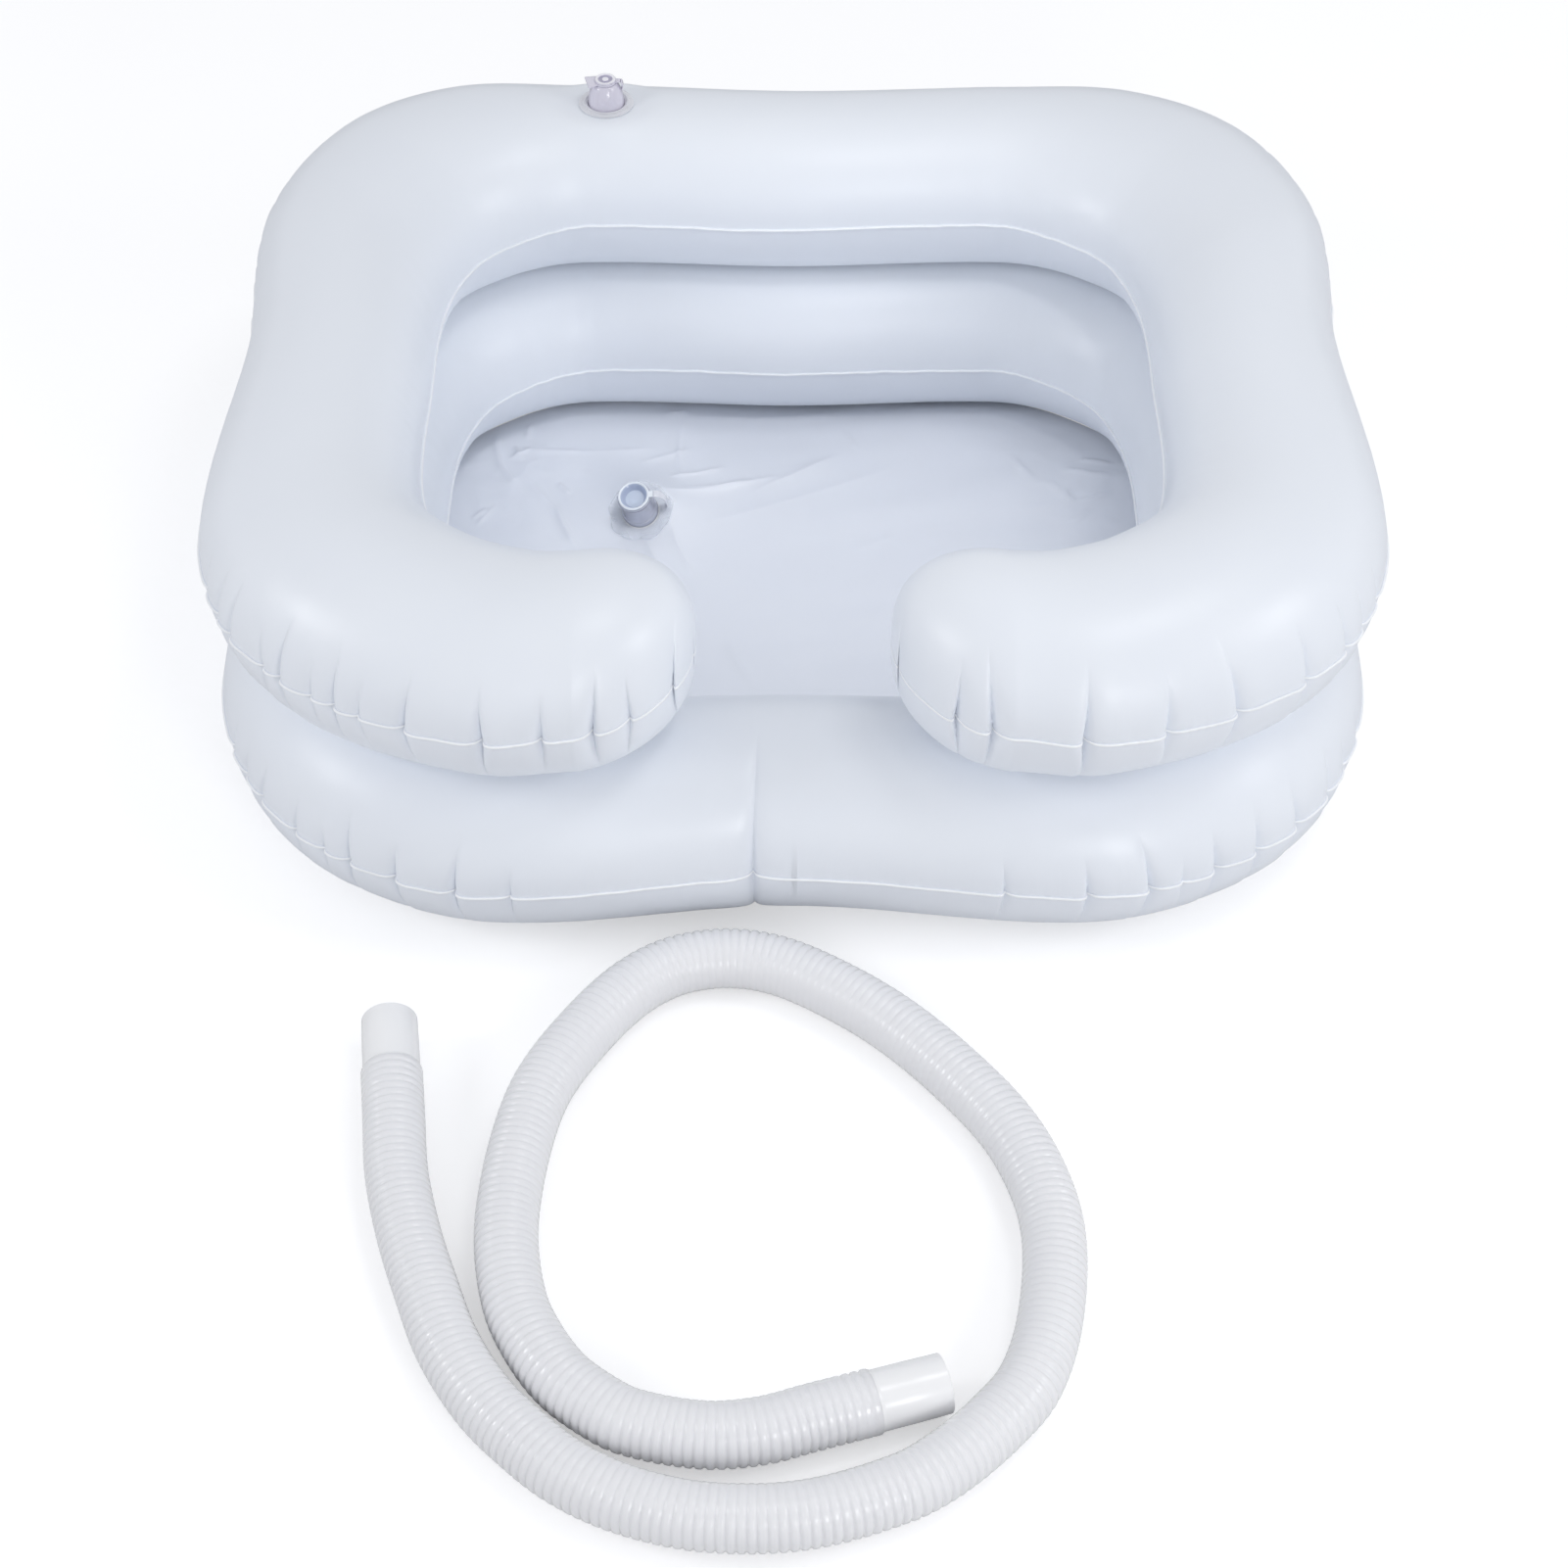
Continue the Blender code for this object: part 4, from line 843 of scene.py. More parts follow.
# %% Ridges of the film: two ends, height and width
RIDGE_HEIGHT, RIDGE_WIDTH, RIDGE_BEND = 0.0019, 0.001, 0.10
FILM_RIDGES = [
    (-0.182, 0.163, -0.178, 0.138, 0.9, 2.2), (-0.178, 0.138, -0.168, 0.121, 0.9, 2.2),
    (-0.171, 0.144, -0.161, 0.151, 0.8, 1.6), (-0.170, 0.153, -0.165, 0.143, 0.8, 1.6),
    (-0.162, 0.175, -0.162, 0.163, 0.8, 1.6), (-0.141, 0.093, -0.130, 0.064, 1.2, 2.6),
    (-0.141, 0.119, -0.135, 0.110, 0.8, 1.8), (-0.161, 0.123, -0.140, 0.095, 0.7, 3.0),
    (-0.162, 0.151, -0.130, 0.148, 0.7, 2.2), (-0.130, 0.148, -0.089, 0.151, 0.5, 3.0),
    (-0.190, 0.087, -0.183, 0.095, 0.8, 1.6), (-0.187, 0.082, -0.179, 0.097, 0.7, 1.6),
    (-0.070, 0.123, -0.044, 0.132, 0.9, 2.0), (-0.088, 0.140, -0.064, 0.151, 0.6, 2.2),
    (-0.070, 0.102, -0.030, 0.117, 1.1, 3.2), (-0.072, 0.073, -0.060, 0.040, 0.8, 3.0),
    (-0.086, 0.062, -0.074, 0.033, 0.8, 3.0), (-0.069, 0.181, -0.069, 0.125, 0.5, 1.4),
    (-0.076, 0.188, -0.065, 0.190, 1.2, 1.8), (-0.018, 0.112, 0.023, 0.140, 1.2, 4.5),
    (-0.062, 0.108, -0.013, 0.121, 1.0, 3.2), (-0.040, 0.083, 0.058, 0.131, 0.7, 7.0),
    (0.033, 0.168, 0.039, 0.153, 0.7, 1.2), (0.177, 0.141, 0.192, 0.137, 1.0, 1.8),
    (0.167, 0.130, 0.192, 0.124, 0.8, 2.0), (0.156, 0.118, 0.169, 0.101, 0.9, 2.0),
    (0.134, 0.144, 0.145, 0.122, 0.8, 2.2), (0.173, 0.102, 0.190, 0.109, 0.7, 1.8),
    (0.168, 0.083, 0.177, 0.093, 0.7, 1.6), (-0.038, -0.024, -0.023, -0.058, 0.6, 4.0),
    (0.035, 0.058, 0.059, 0.071, 0.5, 4.0),
]


def ridges(spots):
    """Height of all the listed ridges at points of the plan."""
    total = np.zeros(spots.shape[:-1])
    for x0, y0, x1, y1, high, wide in FILM_RIDGES:
        begin, run = np.array((x0, y0)), np.array((x1 - x0, y1 - y0))
        length = np.linalg.norm(run)
        offset = spots - begin
        share = (offset @ run) / length ** 2
        aside = (offset[..., 1] * run[0] - offset[..., 0] * run[1]) / length
        aside = aside - RIDGE_BEND * length * (np.clip(share, 0, 1) - 0.5) ** 2
        ends = np.clip(np.minimum(share + 0.25, 1.25 - share) / 0.5, 0, 1)
        ends = ends * ends * (3 - 2 * ends)
        total += (high * RIDGE_HEIGHT * ends
                  * np.exp(-(np.abs(aside) / (wide * RIDGE_WIDTH)) ** 1.25))
    return total


print(len(FILM_RIDGES), "ridges")

# %% [markdown]
# ## Crumples, streaks and waves
#
# Between the listed ridges the film is never quite flat. Sharp little crumples crowd
# where the spare film gathers, faint streaks run away from the drain to the right, and
# slow waves lift it by a millimetre or so. All of it fades out at the weld.

# %% Crumples, streaks and waves of the film
CRUMPLE_HEIGHT, STREAK_HEIGHT, WAVE_HEIGHT = 0.0022, 0.0019, 0.0016
GATHERS = ((1.0, -0.165, 0.130, 0.035), (1.0, 0.165, 0.110, 0.040),
           (0.6, -0.175, 0.060, 0.040), (0.5, 0.150, 0.010, 0.050))
WELDED_EDGE = 0.016
SOFT_FOOT = 0.0004


def read_plane(spots, value):
    """Values of a function of x and y at points of a plane."""
    return np.array([value(x, y) for x, y in spots.reshape(-1, 2)]).reshape(spots.shape[:-1])


def soft_noise(spots, scale, seed):
    """Soft noise read at points of a plane."""
    return read_plane(spots, lambda x, y: noise.fractal(
        Vector((x * scale, y * scale, seed)), 1.0, 2.0, 2))


def ridged(spots, scale, seed):
    """Noise with sharp crests, as creases in film have."""
    return read_plane(spots, lambda x, y: 1 - abs(noise.noise(
        Vector((x * scale, y * scale, seed)))) * 2)


crumple = np.clip(ridged(spot, 30, 5.2) * 0.6 + ridged(spot * 1.9, 30, 1.4) * 0.4 - 0.30, 0, 1)
gathered = sum(much * np.exp(-((spot[..., 0] - x) ** 2 + (spot[..., 1] - y) ** 2) / reach ** 2)
               for much, x, y, reach in GATHERS)
pulled = np.stack([spot[..., 0] * 7, spot[..., 1] * 26 - spot[..., 0] * 4], -1)
streaks = soft_noise(pulled, 1.0, 7.0) * np.clip((spot[..., 0] + 0.07) / 0.06, 0, 1)
waves = soft_noise(spot, 13, 2.0)
lift = (ridges(spot) + crumple * CRUMPLE_HEIGHT * np.clip(gathered, 0, 1)
        + streaks * STREAK_HEIGHT + (waves + 0.9) * WAVE_HEIGHT * (1 - mound))
lift *= np.clip((far[:, None] - distance) / WELDED_EDGE, 0, 1)
lift = (lift + np.sqrt(lift ** 2 + SOFT_FOOT ** 2)) / 2
print("the film rises up to", lift.max().round(4), "m")

# %% The film itself
film = np.zeros((FILM_BEARINGS, FLANGE_RINGS + FILM_RINGS, 3))
for ring in range(FLANGE_RINGS):
    film[:, ring] = hole_edge + (flange_edge - hole_edge) * ring / FLANGE_RINGS
film[:, FLANGE_RINGS:, :2] = spot
film[:, FLANGE_RINGS:, 2] = base + lift
floor_film = grid_piece("floor_film", film, close_rows=True, uv=film[..., :2])
clean_and_smooth(floor_film, merge=0.00002, sharp=math.radians(80))
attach(floor_film, "basin")
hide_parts("floor_sheet")
film_area = sum(face.area for face in floor_film.data.polygons)
print("film area", round(film_area, 4), "square metres")

# %% [markdown]
# ## Air valves
#
# Each valve is a soft clear stem in a hole of the skin. From the base up it has a thin
# welded ring, a bell-shaped stem that narrows near its top, and a cap with a rim round
# a shallow dish and a nub in the middle. A tab to pull the cap off sticks out on the
# left. On the right a little strap holds the cap, and it bends out in a loop. The
# stem, the cap and the flap under it move on their own, so each is its own piece.

# %% Sizes of a valve
STEM_BASE, STEM_TOP, STEM_HEIGHT = 0.0106, 0.0066, 0.0140
STEM_BORE, STEM_MOUTH = 0.0033, 0.0060
STEM_UNDER = -SHEET - 2 * FIT_GAP
CAP_LOW = STEM_HEIGHT + FIT_GAP
CAP_RADIUS, CAP_THICK = 0.0062, 0.0022
STRAP_WIDE, STRAP_THICK = 0.0040, 0.0008
TAB_SHIFT = 0.0022


def matrix_of(axes):
    """Matrix of a fitting's frame."""
    origin, x_axis, y_axis, z_axis = (Vector(values) for values in axes)
    turned = Matrix((x_axis.normalized(), y_axis.normalized(), z_axis.normalized())).transposed()
    return Matrix.Translation(origin) @ turned.to_4x4()


def band_piece(name, path, width, thickness, matrix):
    """Make a bent band with rounded edges along a side view of (x, z) points."""
    path = smooth_line(path, np.linspace(0, len(path) - 1, 40))
    heading = np.gradient(path, axis=0)
    heading /= np.linalg.norm(heading, axis=1)[:, None]
    normal = np.stack([-heading[:, 1], heading[:, 0]], 1)
    ring = []
    for angle in np.linspace(0, math.tau, 20, endpoint=False):
        wide = np.sign(math.cos(angle)) * abs(math.cos(angle)) ** 0.45 * width / 2
        thin = np.sign(math.sin(angle)) * abs(math.sin(angle)) ** 0.55 * thickness / 2
        ring.append((wide, thin))
    ring = np.array(ring)
    points = np.zeros((len(path), len(ring), 3))
    points[..., 0] = path[:, None, 0] + normal[:, None, 0] * ring[None, :, 1]
    points[..., 1] = ring[None, :, 0]
    points[..., 2] = path[:, None, 1] + normal[:, None, 1] * ring[None, :, 1]
    caps = [points[:1].mean(1, keepdims=True).repeat(len(ring), 1),
            points[-1:].mean(1, keepdims=True).repeat(len(ring), 1)]
    points = np.concatenate([caps[0], points, caps[1]])
    piece = grid_piece(name, points, close_columns=True)
    piece.data.transform(matrix)
    return clean_and_smooth(piece, merge=0.000002, sharp=math.radians(60))


def tab_piece(name, start, end, width, thickness, height, twist, matrix):
    """Make the pull tab: a short band with a square end, cut askew, and soft edges."""
    rows, ring = [], 28
    angle = np.linspace(0, math.tau, ring, endpoint=False)
    for along in np.linspace(0, 1, 30):
        x = start + (end - start) * along
        half = width / 2 * (0.84 + 0.16 * along)
        corner = max((along - 0.88) / 0.12, 0)
        round_end = math.sqrt(max(1 - corner ** 2.6, 0.0004))
        thick = thickness / 2 * (1 + 0.25 * along) * (0.30 + 0.70 * round_end)
        thick *= 1 + 0.16 * math.cos(along * math.tau * 2.5)
        y = np.sign(np.cos(angle)) * np.abs(np.cos(angle)) ** 0.5 * half * (0.93 + 0.07 * round_end)
        z = np.sign(np.sin(angle)) * np.abs(np.sin(angle)) ** 0.6 * thick
        rows.append(np.stack([-x - y * math.tan(twist) * along, y - TAB_SHIFT * along,
                              z + height], 1))
    rows = [rows[0].mean(0, keepdims=True).repeat(ring, 0)] + rows
    rows.append(rows[-1].mean(0, keepdims=True).repeat(ring, 0))
    piece = grid_piece(name, np.array(rows), close_columns=True)
    piece.data.transform(matrix)
    return clean_and_smooth(piece, merge=0.000002, sharp=math.radians(60))


def joined(name, pieces):
    """Join pieces that move together into one."""
    shape = bmesh.new()
    for piece in pieces:
        shape.from_mesh(piece.data)
        bpy.data.objects.remove(piece, do_unlink=True)
    mesh = bpy.data.meshes.new(name)
    shape.to_mesh(mesh)
    shape.free()
    mesh.shade_smooth()
    mesh.set_sharp_from_angle(angle=math.radians(50))
    return add_object(name, mesh)


def material_by_radius(piece, matrix, limits, numbers):
    """Give the faces of a turned piece a material number by their distance from the axis."""
    into = matrix.inverted()
    for face in piece.data.polygons:
        middle = into @ face.center
        zone = int(np.searchsorted(limits, math.hypot(middle.x, middle.y)))
        face.material_index = numbers[zone]


def strap_path(foot, pivot, bulge):
    """Side view of a strap that climbs from its foot to a pivot and bends out between."""
    shares = [number / 6 for number in range(7)]
    return [(foot[0] + (pivot[0] - foot[0]) * share + bulge * math.sin(share * math.pi),
             foot[1] + (pivot[1] - foot[1]) * (1 - math.cos(share * math.pi)) / 2)
            for share in shares]


def stem_radius(share):
    """Radius of the bell-shaped stem at a share of its height."""
    return STEM_BASE + (STEM_TOP - STEM_BASE) * share ** 2.2


# %% One valve, piece by piece
def build_valve(prefix, axes):
    """Make the pieces of one valve and hand each to its moving body."""
    matrix = matrix_of(axes)
    hole = STEM_BASE + 0.0004
    base_ring = turned_piece(prefix + "_base_ring", (
        (0.0160, 0.0), (0.0160, 0.0004), (0.0150, 0.0006), (0.0136, 0.0007), (0.0133, 0.0014),
        (0.0126, 0.0016), (0.0119, 0.0014), (0.0116, 0.0008), (hole, 0.0008), (hole, 0.0)),
        matrix, edge=0.0002)
    sides = [(stem_radius(share), STEM_HEIGHT * share) for share in np.linspace(0.96, 0.04, 24)]
    stem = turned_piece(prefix + "_stem_shell", (
        (STEM_TOP - 0.0003, STEM_HEIGHT), *sides, (STEM_BASE, 0.0), (STEM_BASE, STEM_UNDER),
        (STEM_BASE + 0.0015, STEM_UNDER), (STEM_BASE + 0.0015, STEM_UNDER - 0.0009),
        (STEM_MOUTH, STEM_UNDER - 0.0009), (STEM_BORE, STEM_HEIGHT * 0.45),
        (STEM_BORE, STEM_HEIGHT)), matrix, edge=0.0003)
    pivot = (CAP_RADIUS + 0.0026, CAP_LOW + STRAP_THICK)
    foot = (stem_radius(0.72) + STRAP_THICK / 2 + 0.0001, STEM_HEIGHT * 0.72)
    strap = band_piece(prefix + "_strap_band", strap_path(foot, pivot, 0.0009),
                       STRAP_WIDE, STRAP_THICK, matrix)
    top = CAP_LOW + CAP_THICK
    cap = turned_piece(prefix + "_cap", (
        (0.0, top - 0.0001), (0.0017, top - 0.0001), (0.0020, top - 0.0006),
        (0.0021, top - 0.0012), (0.0040, top - 0.0012), (0.0042, top - 0.0002),
        (0.0048, top), (0.0057, top), (0.0061, top - 0.0004), (0.0061, top - 0.0009),
        (0.0058, top - 0.0011), (0.0062, top - 0.0013), (0.0062, CAP_LOW),
        (0.0030, CAP_LOW), (0.0029, CAP_LOW - 0.0010), (0.0023, CAP_LOW - 0.0031),
        (0.0, CAP_LOW - 0.0031)), matrix, edge=0.00015, closed=False)
    tab = tab_piece(prefix + "_tab", 0.0040, 0.0108, 0.0118, 0.0011, CAP_LOW + 0.0006,
                    math.radians(15), matrix)
    hinge = band_piece(prefix + "_hinge", [(0.0050, pivot[1]), (0.0070, pivot[1]),
                                           (pivot[0] - 0.0002, pivot[1])],
                       STRAP_WIDE, STRAP_THICK, matrix)
    cap = joined(prefix + "_cap_and_tab", [cap, tab, hinge])
    # The dish gets painted shade (number 1); the nub and the raised rim get a painted highlight
    # (number 2).
    material_by_radius(cap, matrix, (0.00185, 0.0041, 0.0058), (2, 1, 2, 0))
    flap_top = STEM_UNDER - 0.0009 - FIT_GAP
    flap = turned_piece(prefix + "_flap_disc", (
        (0.0, flap_top), (STEM_MOUTH + 0.0007, flap_top), (STEM_MOUTH + 0.0007, flap_top - 0.0008),
        (0.0, flap_top - 0.0008)), matrix, edge=0.0002, closed=False)
    for piece, body, node in ((base_ring, "basin", "_flange"), (stem, prefix + "_stem", "_stem"),
                              (strap, prefix + "_stem", "_strap"),
                              (cap, prefix + "_stopper", "_stopper"),
                              (flap, prefix + "_flap", "_check_flap")):
        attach(piece, body)
        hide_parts(prefix + node)
    return [base_ring, stem, strap, cap, flap]


valve_pieces = build_valve("upper_valve", upper_valve) + build_valve("lower_valve", lower_valve)
print(len(valve_pieces), "valve pieces")

# %% [markdown]
# ## Drain
#
# The drain is a short clear spout that leans to the front left. Its foot sits in a
# thin welded disc with a wavy rim. A cup-shaped plug closes its mouth, and a strap
# holds the plug at the right.

# %% Pieces of the drain
drain_axes = frame_axes((-0.09012, 0.08573, 0.009049), (0.9845, -0.03481, 0.17189),
                        (-0.03481, 0.92181, 0.38608), (-0.17189, -0.38608, 0.90631))
drain_matrix = matrix_of(drain_axes)
SPOUT_HEIGHT = 0.0195
SEAT = 0.0012
DISC_SIDES = 120
disc_profile = rounded([(0.0146, 0.0009), (0.0192, 0.00045), (0.0192, 0.0), (0.0109, 0.0),
                        (0.0109, 0.0009)], 0.0002)
angle = np.linspace(0, math.tau, DISC_SIDES, endpoint=False)
disc_points = np.zeros((DISC_SIDES, len(disc_profile), 3))
for column, (radius, lifted) in enumerate(disc_profile):
    outer_share = np.clip((radius - 0.0150) / 0.0042, 0, 1)
    wavy = radius + outer_share * (0.0005 * np.sin(angle * 9) + 0.0006 * np.sin(angle * 5 + 1))
    disc_points[:, column, 0] = wavy * np.cos(angle)
    disc_points[:, column, 1] = wavy * np.sin(angle)
    disc_points[:, column, 2] = lifted + outer_share * 0.0004 * (1 + np.sin(angle * 9 + 0.8))
disc = grid_piece("drain_disc", disc_points, close_rows=True, close_columns=True)
disc.data.transform(drain_matrix)
clean_and_smooth(disc, merge=0.000002)
spout = turned_piece("drain_spout_shell", (
    (0.0098, SPOUT_HEIGHT), (0.0101, SPOUT_HEIGHT - 0.0006), (0.0098, SPOUT_HEIGHT - 0.0012),
    (0.0095, SPOUT_HEIGHT - 0.0024), (0.0096, SPOUT_HEIGHT - 0.0080), (0.0098, 0.0078),
    (0.0101, SEAT + 0.0034), (0.0108, SEAT + 0.0030), (0.0110, SEAT), (0.0106, SEAT),
    (0.0106, -0.0007), (0.0084, -0.0007), (0.0084, SPOUT_HEIGHT)), drain_matrix, edge=0.0003)
plug_low = SPOUT_HEIGHT + FIT_GAP
plug = turned_piece("drain_plug_cup", (
    (0.0, plug_low - 0.0027), (0.0030, plug_low - 0.0028), (0.0057, plug_low - 0.0032),
    (0.0073, plug_low + 0.0002), (0.0082, plug_low + 0.0009), (0.0088, plug_low + 0.0013),
    (0.0094, plug_low + 0.0008), (0.0094, plug_low), (0.0081, plug_low),
    (0.0071, plug_low - 0.0041), (0.0, plug_low - 0.0041)), drain_matrix, edge=0.0003,
    closed=False)
plug_pivot = (0.0120, plug_low + 0.0006)
plug_link = band_piece("plug_link", [(0.0086, plug_pivot[1]), (0.0104, plug_pivot[1]),
                                     (plug_pivot[0] - 0.0004, plug_pivot[1])],
                       0.0040, 0.0009, drain_matrix)
plug = joined("drain_plug_cup", [plug, plug_link])
# The cup's sloping wall gets painted shade (number 1); its lip and link get a painted highlight
# (number 2).
material_by_radius(plug, drain_matrix, (0.0056, 0.0079), (0, 1, 2))
plug_foot = (0.0136, SEAT + 0.0002)
plug_strap = band_piece("drain_strap_band", strap_path(plug_foot, plug_pivot, 0.0050),
                        0.0044, 0.0009, drain_matrix)
for piece, body, node in ((disc, "basin", "drain_flange"), (spout, "basin", "drain_spout"),
                          (plug_strap, "basin", "drain_strap"), (plug, "drain_plug", "drain_plug")):
    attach(piece, body)
    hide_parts(node)

# %% [markdown]
# ## Materials
#
# PVC skin is a satin white with a cool cast, with a soft sheen where it is stretched
# and a very fine grain. Small creases run from the welds up the sides, and a thin band
# of painted shade darkens the skin along the weld. The welds are pressed flat by a hot
# bar, so they are glossier, and their colour is painted whiter as a highlight on the
# raised bead. All these are made by one node group that gives back a height and two
# masks, one of them the painted shade along the weld, and it serves every plastic.

# %% Node helpers
def new_material(name):
    """Start a material and hand back its node tree and shader."""
    material = bpy.data.materials.new(name)
    material.use_nodes = True
    return material, material.node_tree, material.node_tree.nodes["Principled BSDF"]


def new_group(name, inputs, outputs):
    """Start a node group with named inputs and outputs."""
    tree = bpy.data.node_groups.new(name, "ShaderNodeTree")
    for label, value in inputs:
        tree.interface.new_socket(label, in_out="INPUT",
                                  socket_type="NodeSocketFloat").default_value = value
    for label in outputs:
        tree.interface.new_socket(label, in_out="OUTPUT", socket_type="NodeSocketFloat")
    return tree, tree.nodes.new("NodeGroupInput"), tree.nodes.new("NodeGroupOutput")


def put_in(tree, socket, value):
    """Give an input a number, a colour of three numbers, or a link."""
    if isinstance(value, bpy.types.NodeSocket):
        tree.links.new(value, socket)
    else:
        socket.default_value = (*value, 1) if isinstance(value, tuple) else value


def math_node(tree, operation, *values):
    """Add a maths node; each value is a number or a socket."""
    node = tree.nodes.new("ShaderNodeMath")
    node.operation = operation
    for socket, value in zip(node.inputs, values):
        put_in(tree, socket, value)
    return node.outputs[0]


def mixed(tree, first, second, share):
    """Mix two colours by a share."""
    node = tree.nodes.new("ShaderNodeMix")
    node.data_type = "RGBA"
    for label, value in (("A", first), ("B", second), ("Factor", share)):
        put_in(tree, node.inputs[label], value)
    return node.outputs["Result"]


def mapped(tree, value, before, after):
    """Carry a value from one range over to another."""
    node = tree.nodes.new("ShaderNodeMapRange")
    for label, number in zip(("From Min", "From Max", "To Min", "To Max"), (*before, *after)):
        put_in(tree, node.inputs[label], number)
    put_in(tree, node.inputs["Value"], value)
    return node.outputs["Result"]


def noise_node(tree, scale, detail, where):
    """Add soft noise read at a place."""
    node = tree.nodes.new("ShaderNodeTexNoise")
    for label, value in (("Scale", scale), ("Detail", detail), ("Vector", where)):
        put_in(tree, node.inputs[label], value)
    return node.outputs["Fac"]


# %% Skin grain: cloudy sheen, fine dimples, creases and painted shade near the weld
CREASES_ALONG, CREASES_ACROSS = 150.0, 28.0
# The second fade sets how fast the painted shade along the weld dies out up the side.
CREASE_FADE, PAINTED_SHADE_FADE = -95.0, -1600.0
grain, grain_in, grain_out = new_group(
    "skin_grain",
    [("Crease Height", 0.00025), ("Dimple Height", 0.00002), ("Swell Height", 0.0006)],
    ["Height", "Cloud", "Painted Weld Shade"])
place = grain.nodes.new("ShaderNodeTexCoord")
metres = grain.nodes.new("ShaderNodeSeparateXYZ")
grain.links.new(place.outputs["UV"], metres.inputs[0])


def times(first, second):
    """Multiply two values in the grain."""
    return math_node(grain, "MULTIPLY", first, second)


def near_weld(fade):
    """A mask that is 1 at the weld and fades out up the side."""
    return math_node(grain, "POWER", 2.718, times(metres.outputs["Y"], fade))


stretched = grain.nodes.new("ShaderNodeCombineXYZ")
put_in(grain, stretched.inputs["X"], times(metres.outputs["X"], CREASES_ALONG))
put_in(grain, stretched.inputs["Y"], times(metres.outputs["Y"], CREASES_ACROSS))
creases = noise_node(grain, 1.0, 2.0, stretched.outputs[0])
crease_height = times(times(creases, grain_in.outputs["Crease Height"]), near_weld(CREASE_FADE))
dimples = noise_node(grain, 900.0, 2.0, place.outputs["Object"])
dimple_height = times(dimples, grain_in.outputs["Dimple Height"])
cloud = noise_node(grain, 22.0, 3.0, place.outputs["Object"])
swells = times(cloud, grain_in.outputs["Swell Height"])
total = math_node(grain, "ADD", math_node(grain, "ADD", crease_height, dimple_height), swells)
# The third output is a mask of painted shade: a thin band along the weld where the colour darkens.
for label, value in (("Height", total), ("Cloud", cloud), ("Painted Weld Shade", near_weld(PAINTED_SHADE_FADE))):
    put_in(grain, grain_out.inputs[label], value)
print("the grain has", len(grain.nodes), "nodes")

# %% One plastic
RIM_FACING, CLEAR_FACING, CLOUD_RANGE = (0.50, 0.92), (0.0, 0.8), (0.3, 0.7)
GLOW_DEPTH = 0.006


def plastic(name, colour, shade, roughness, spread, crease=0.0, dimple=0.0, swell=0.0006,
            coat=0.0, subsurface=0.0, rim=None, see_through=0.0, painted_weld_shade=None):
    """Make one of the plastics.

    Its colour clouds a little and the skin's grain goes over it. Where a weld shade is
    given, painted shade darkens the colour in a thin band along the weld. At the rim,
    where the eye looks along the wall, the colour turns to the rim colour: painted
    shade on the clear plastics and painted light on the milky hose and its sleeves.
    A clear plastic also lets some light through where the eye looks straight at it.
    """
    material, tree, shader = new_material(name)
    group = tree.nodes.new("ShaderNodeGroup")
    group.node_tree = grain
    for label, value in (("Crease Height", crease), ("Dimple Height", dimple),
                         ("Swell Height", swell)):
        put_in(tree, group.inputs[label], value)
    clouds = group.outputs["Cloud"]
    tint = mixed(tree, shade, colour, clouds)
    # Painted shade: along the weld the colour darkens towards the given dark tone.
    if painted_weld_shade:
        tint = mixed(tree, tint, painted_weld_shade, group.outputs["Painted Weld Shade"])
    # Painted rim shading: where the eye looks along the wall the colour turns to the rim colour,
    # darker on clear plastics, lighter on the hose.
    if rim:
        weight = tree.nodes.new("ShaderNodeLayerWeight")
        put_in(tree, weight.inputs["Blend"], 0.5)
        facing = weight.outputs["Facing"]
        tint = mixed(tree, tint, rim, mapped(tree, facing, RIM_FACING, (0.0, 1.0)))
        put_in(tree, shader.inputs["Alpha"],
               mapped(tree, facing, CLEAR_FACING, (1.0 - see_through, 1.0)))
    bump = tree.nodes.new("ShaderNodeBump")
    rough = mapped(tree, clouds, CLOUD_RANGE, (roughness - spread, roughness + spread))
    for node, label, value in (
            (bump, "Distance", 1.0), (bump, "Strength", 1.0),
            (bump, "Height", group.outputs["Height"]), (shader, "Normal", bump.outputs["Normal"]),
            (shader, "Base Color", tint), (shader, "Roughness", rough), (shader, "IOR", 1.5),
            (shader, "Subsurface Weight", subsurface), (shader, "Subsurface Scale", 1.0),
            (shader, "Coat Weight", coat), (shader, "Coat Roughness", 0.12)):
        put_in(tree, node.inputs[label], value)
    shader.inputs["Subsurface Radius"].default_value = [GLOW_DEPTH] * 3
    return material


# %% The plastics
# The skin's dark tone along the weld is painted shade.
skin_pvc = plastic("skin_pvc", (0.890, 0.922, 0.976), (0.868, 0.903, 0.966), 0.35, 0.04,
                   crease=0.00035, dimple=0.000010, painted_weld_shade=(0.81, 0.84, 0.90))
# The two weld colours are a painted highlight along the raised bead, fainter on the well side
weld_painted_highlight_pvc = plastic("weld_painted_highlight_pvc", (0.972, 0.984, 1.000), (0.960, 0.975, 0.998), 0.34, 0.04)
well_weld_painted_highlight_pvc = plastic("well_weld_painted_highlight_pvc", (0.940, 0.957, 0.992), (0.925, 0.946, 0.986), 0.34, 0.04)
film_pvc = plastic("film_pvc", (0.885, 0.912, 0.972), (0.862, 0.892, 0.960), 0.33, 0.03,
                   swell=0.0003, coat=0.10)
# The dark rim colours of the clear plastics are painted shade at their edges.
valve_pvc = plastic("valve_pvc", (0.84, 0.815, 0.925), (0.78, 0.755, 0.875), 0.14, 0.03,
                    coat=0.4, rim=(0.34, 0.32, 0.42), see_through=0.20)
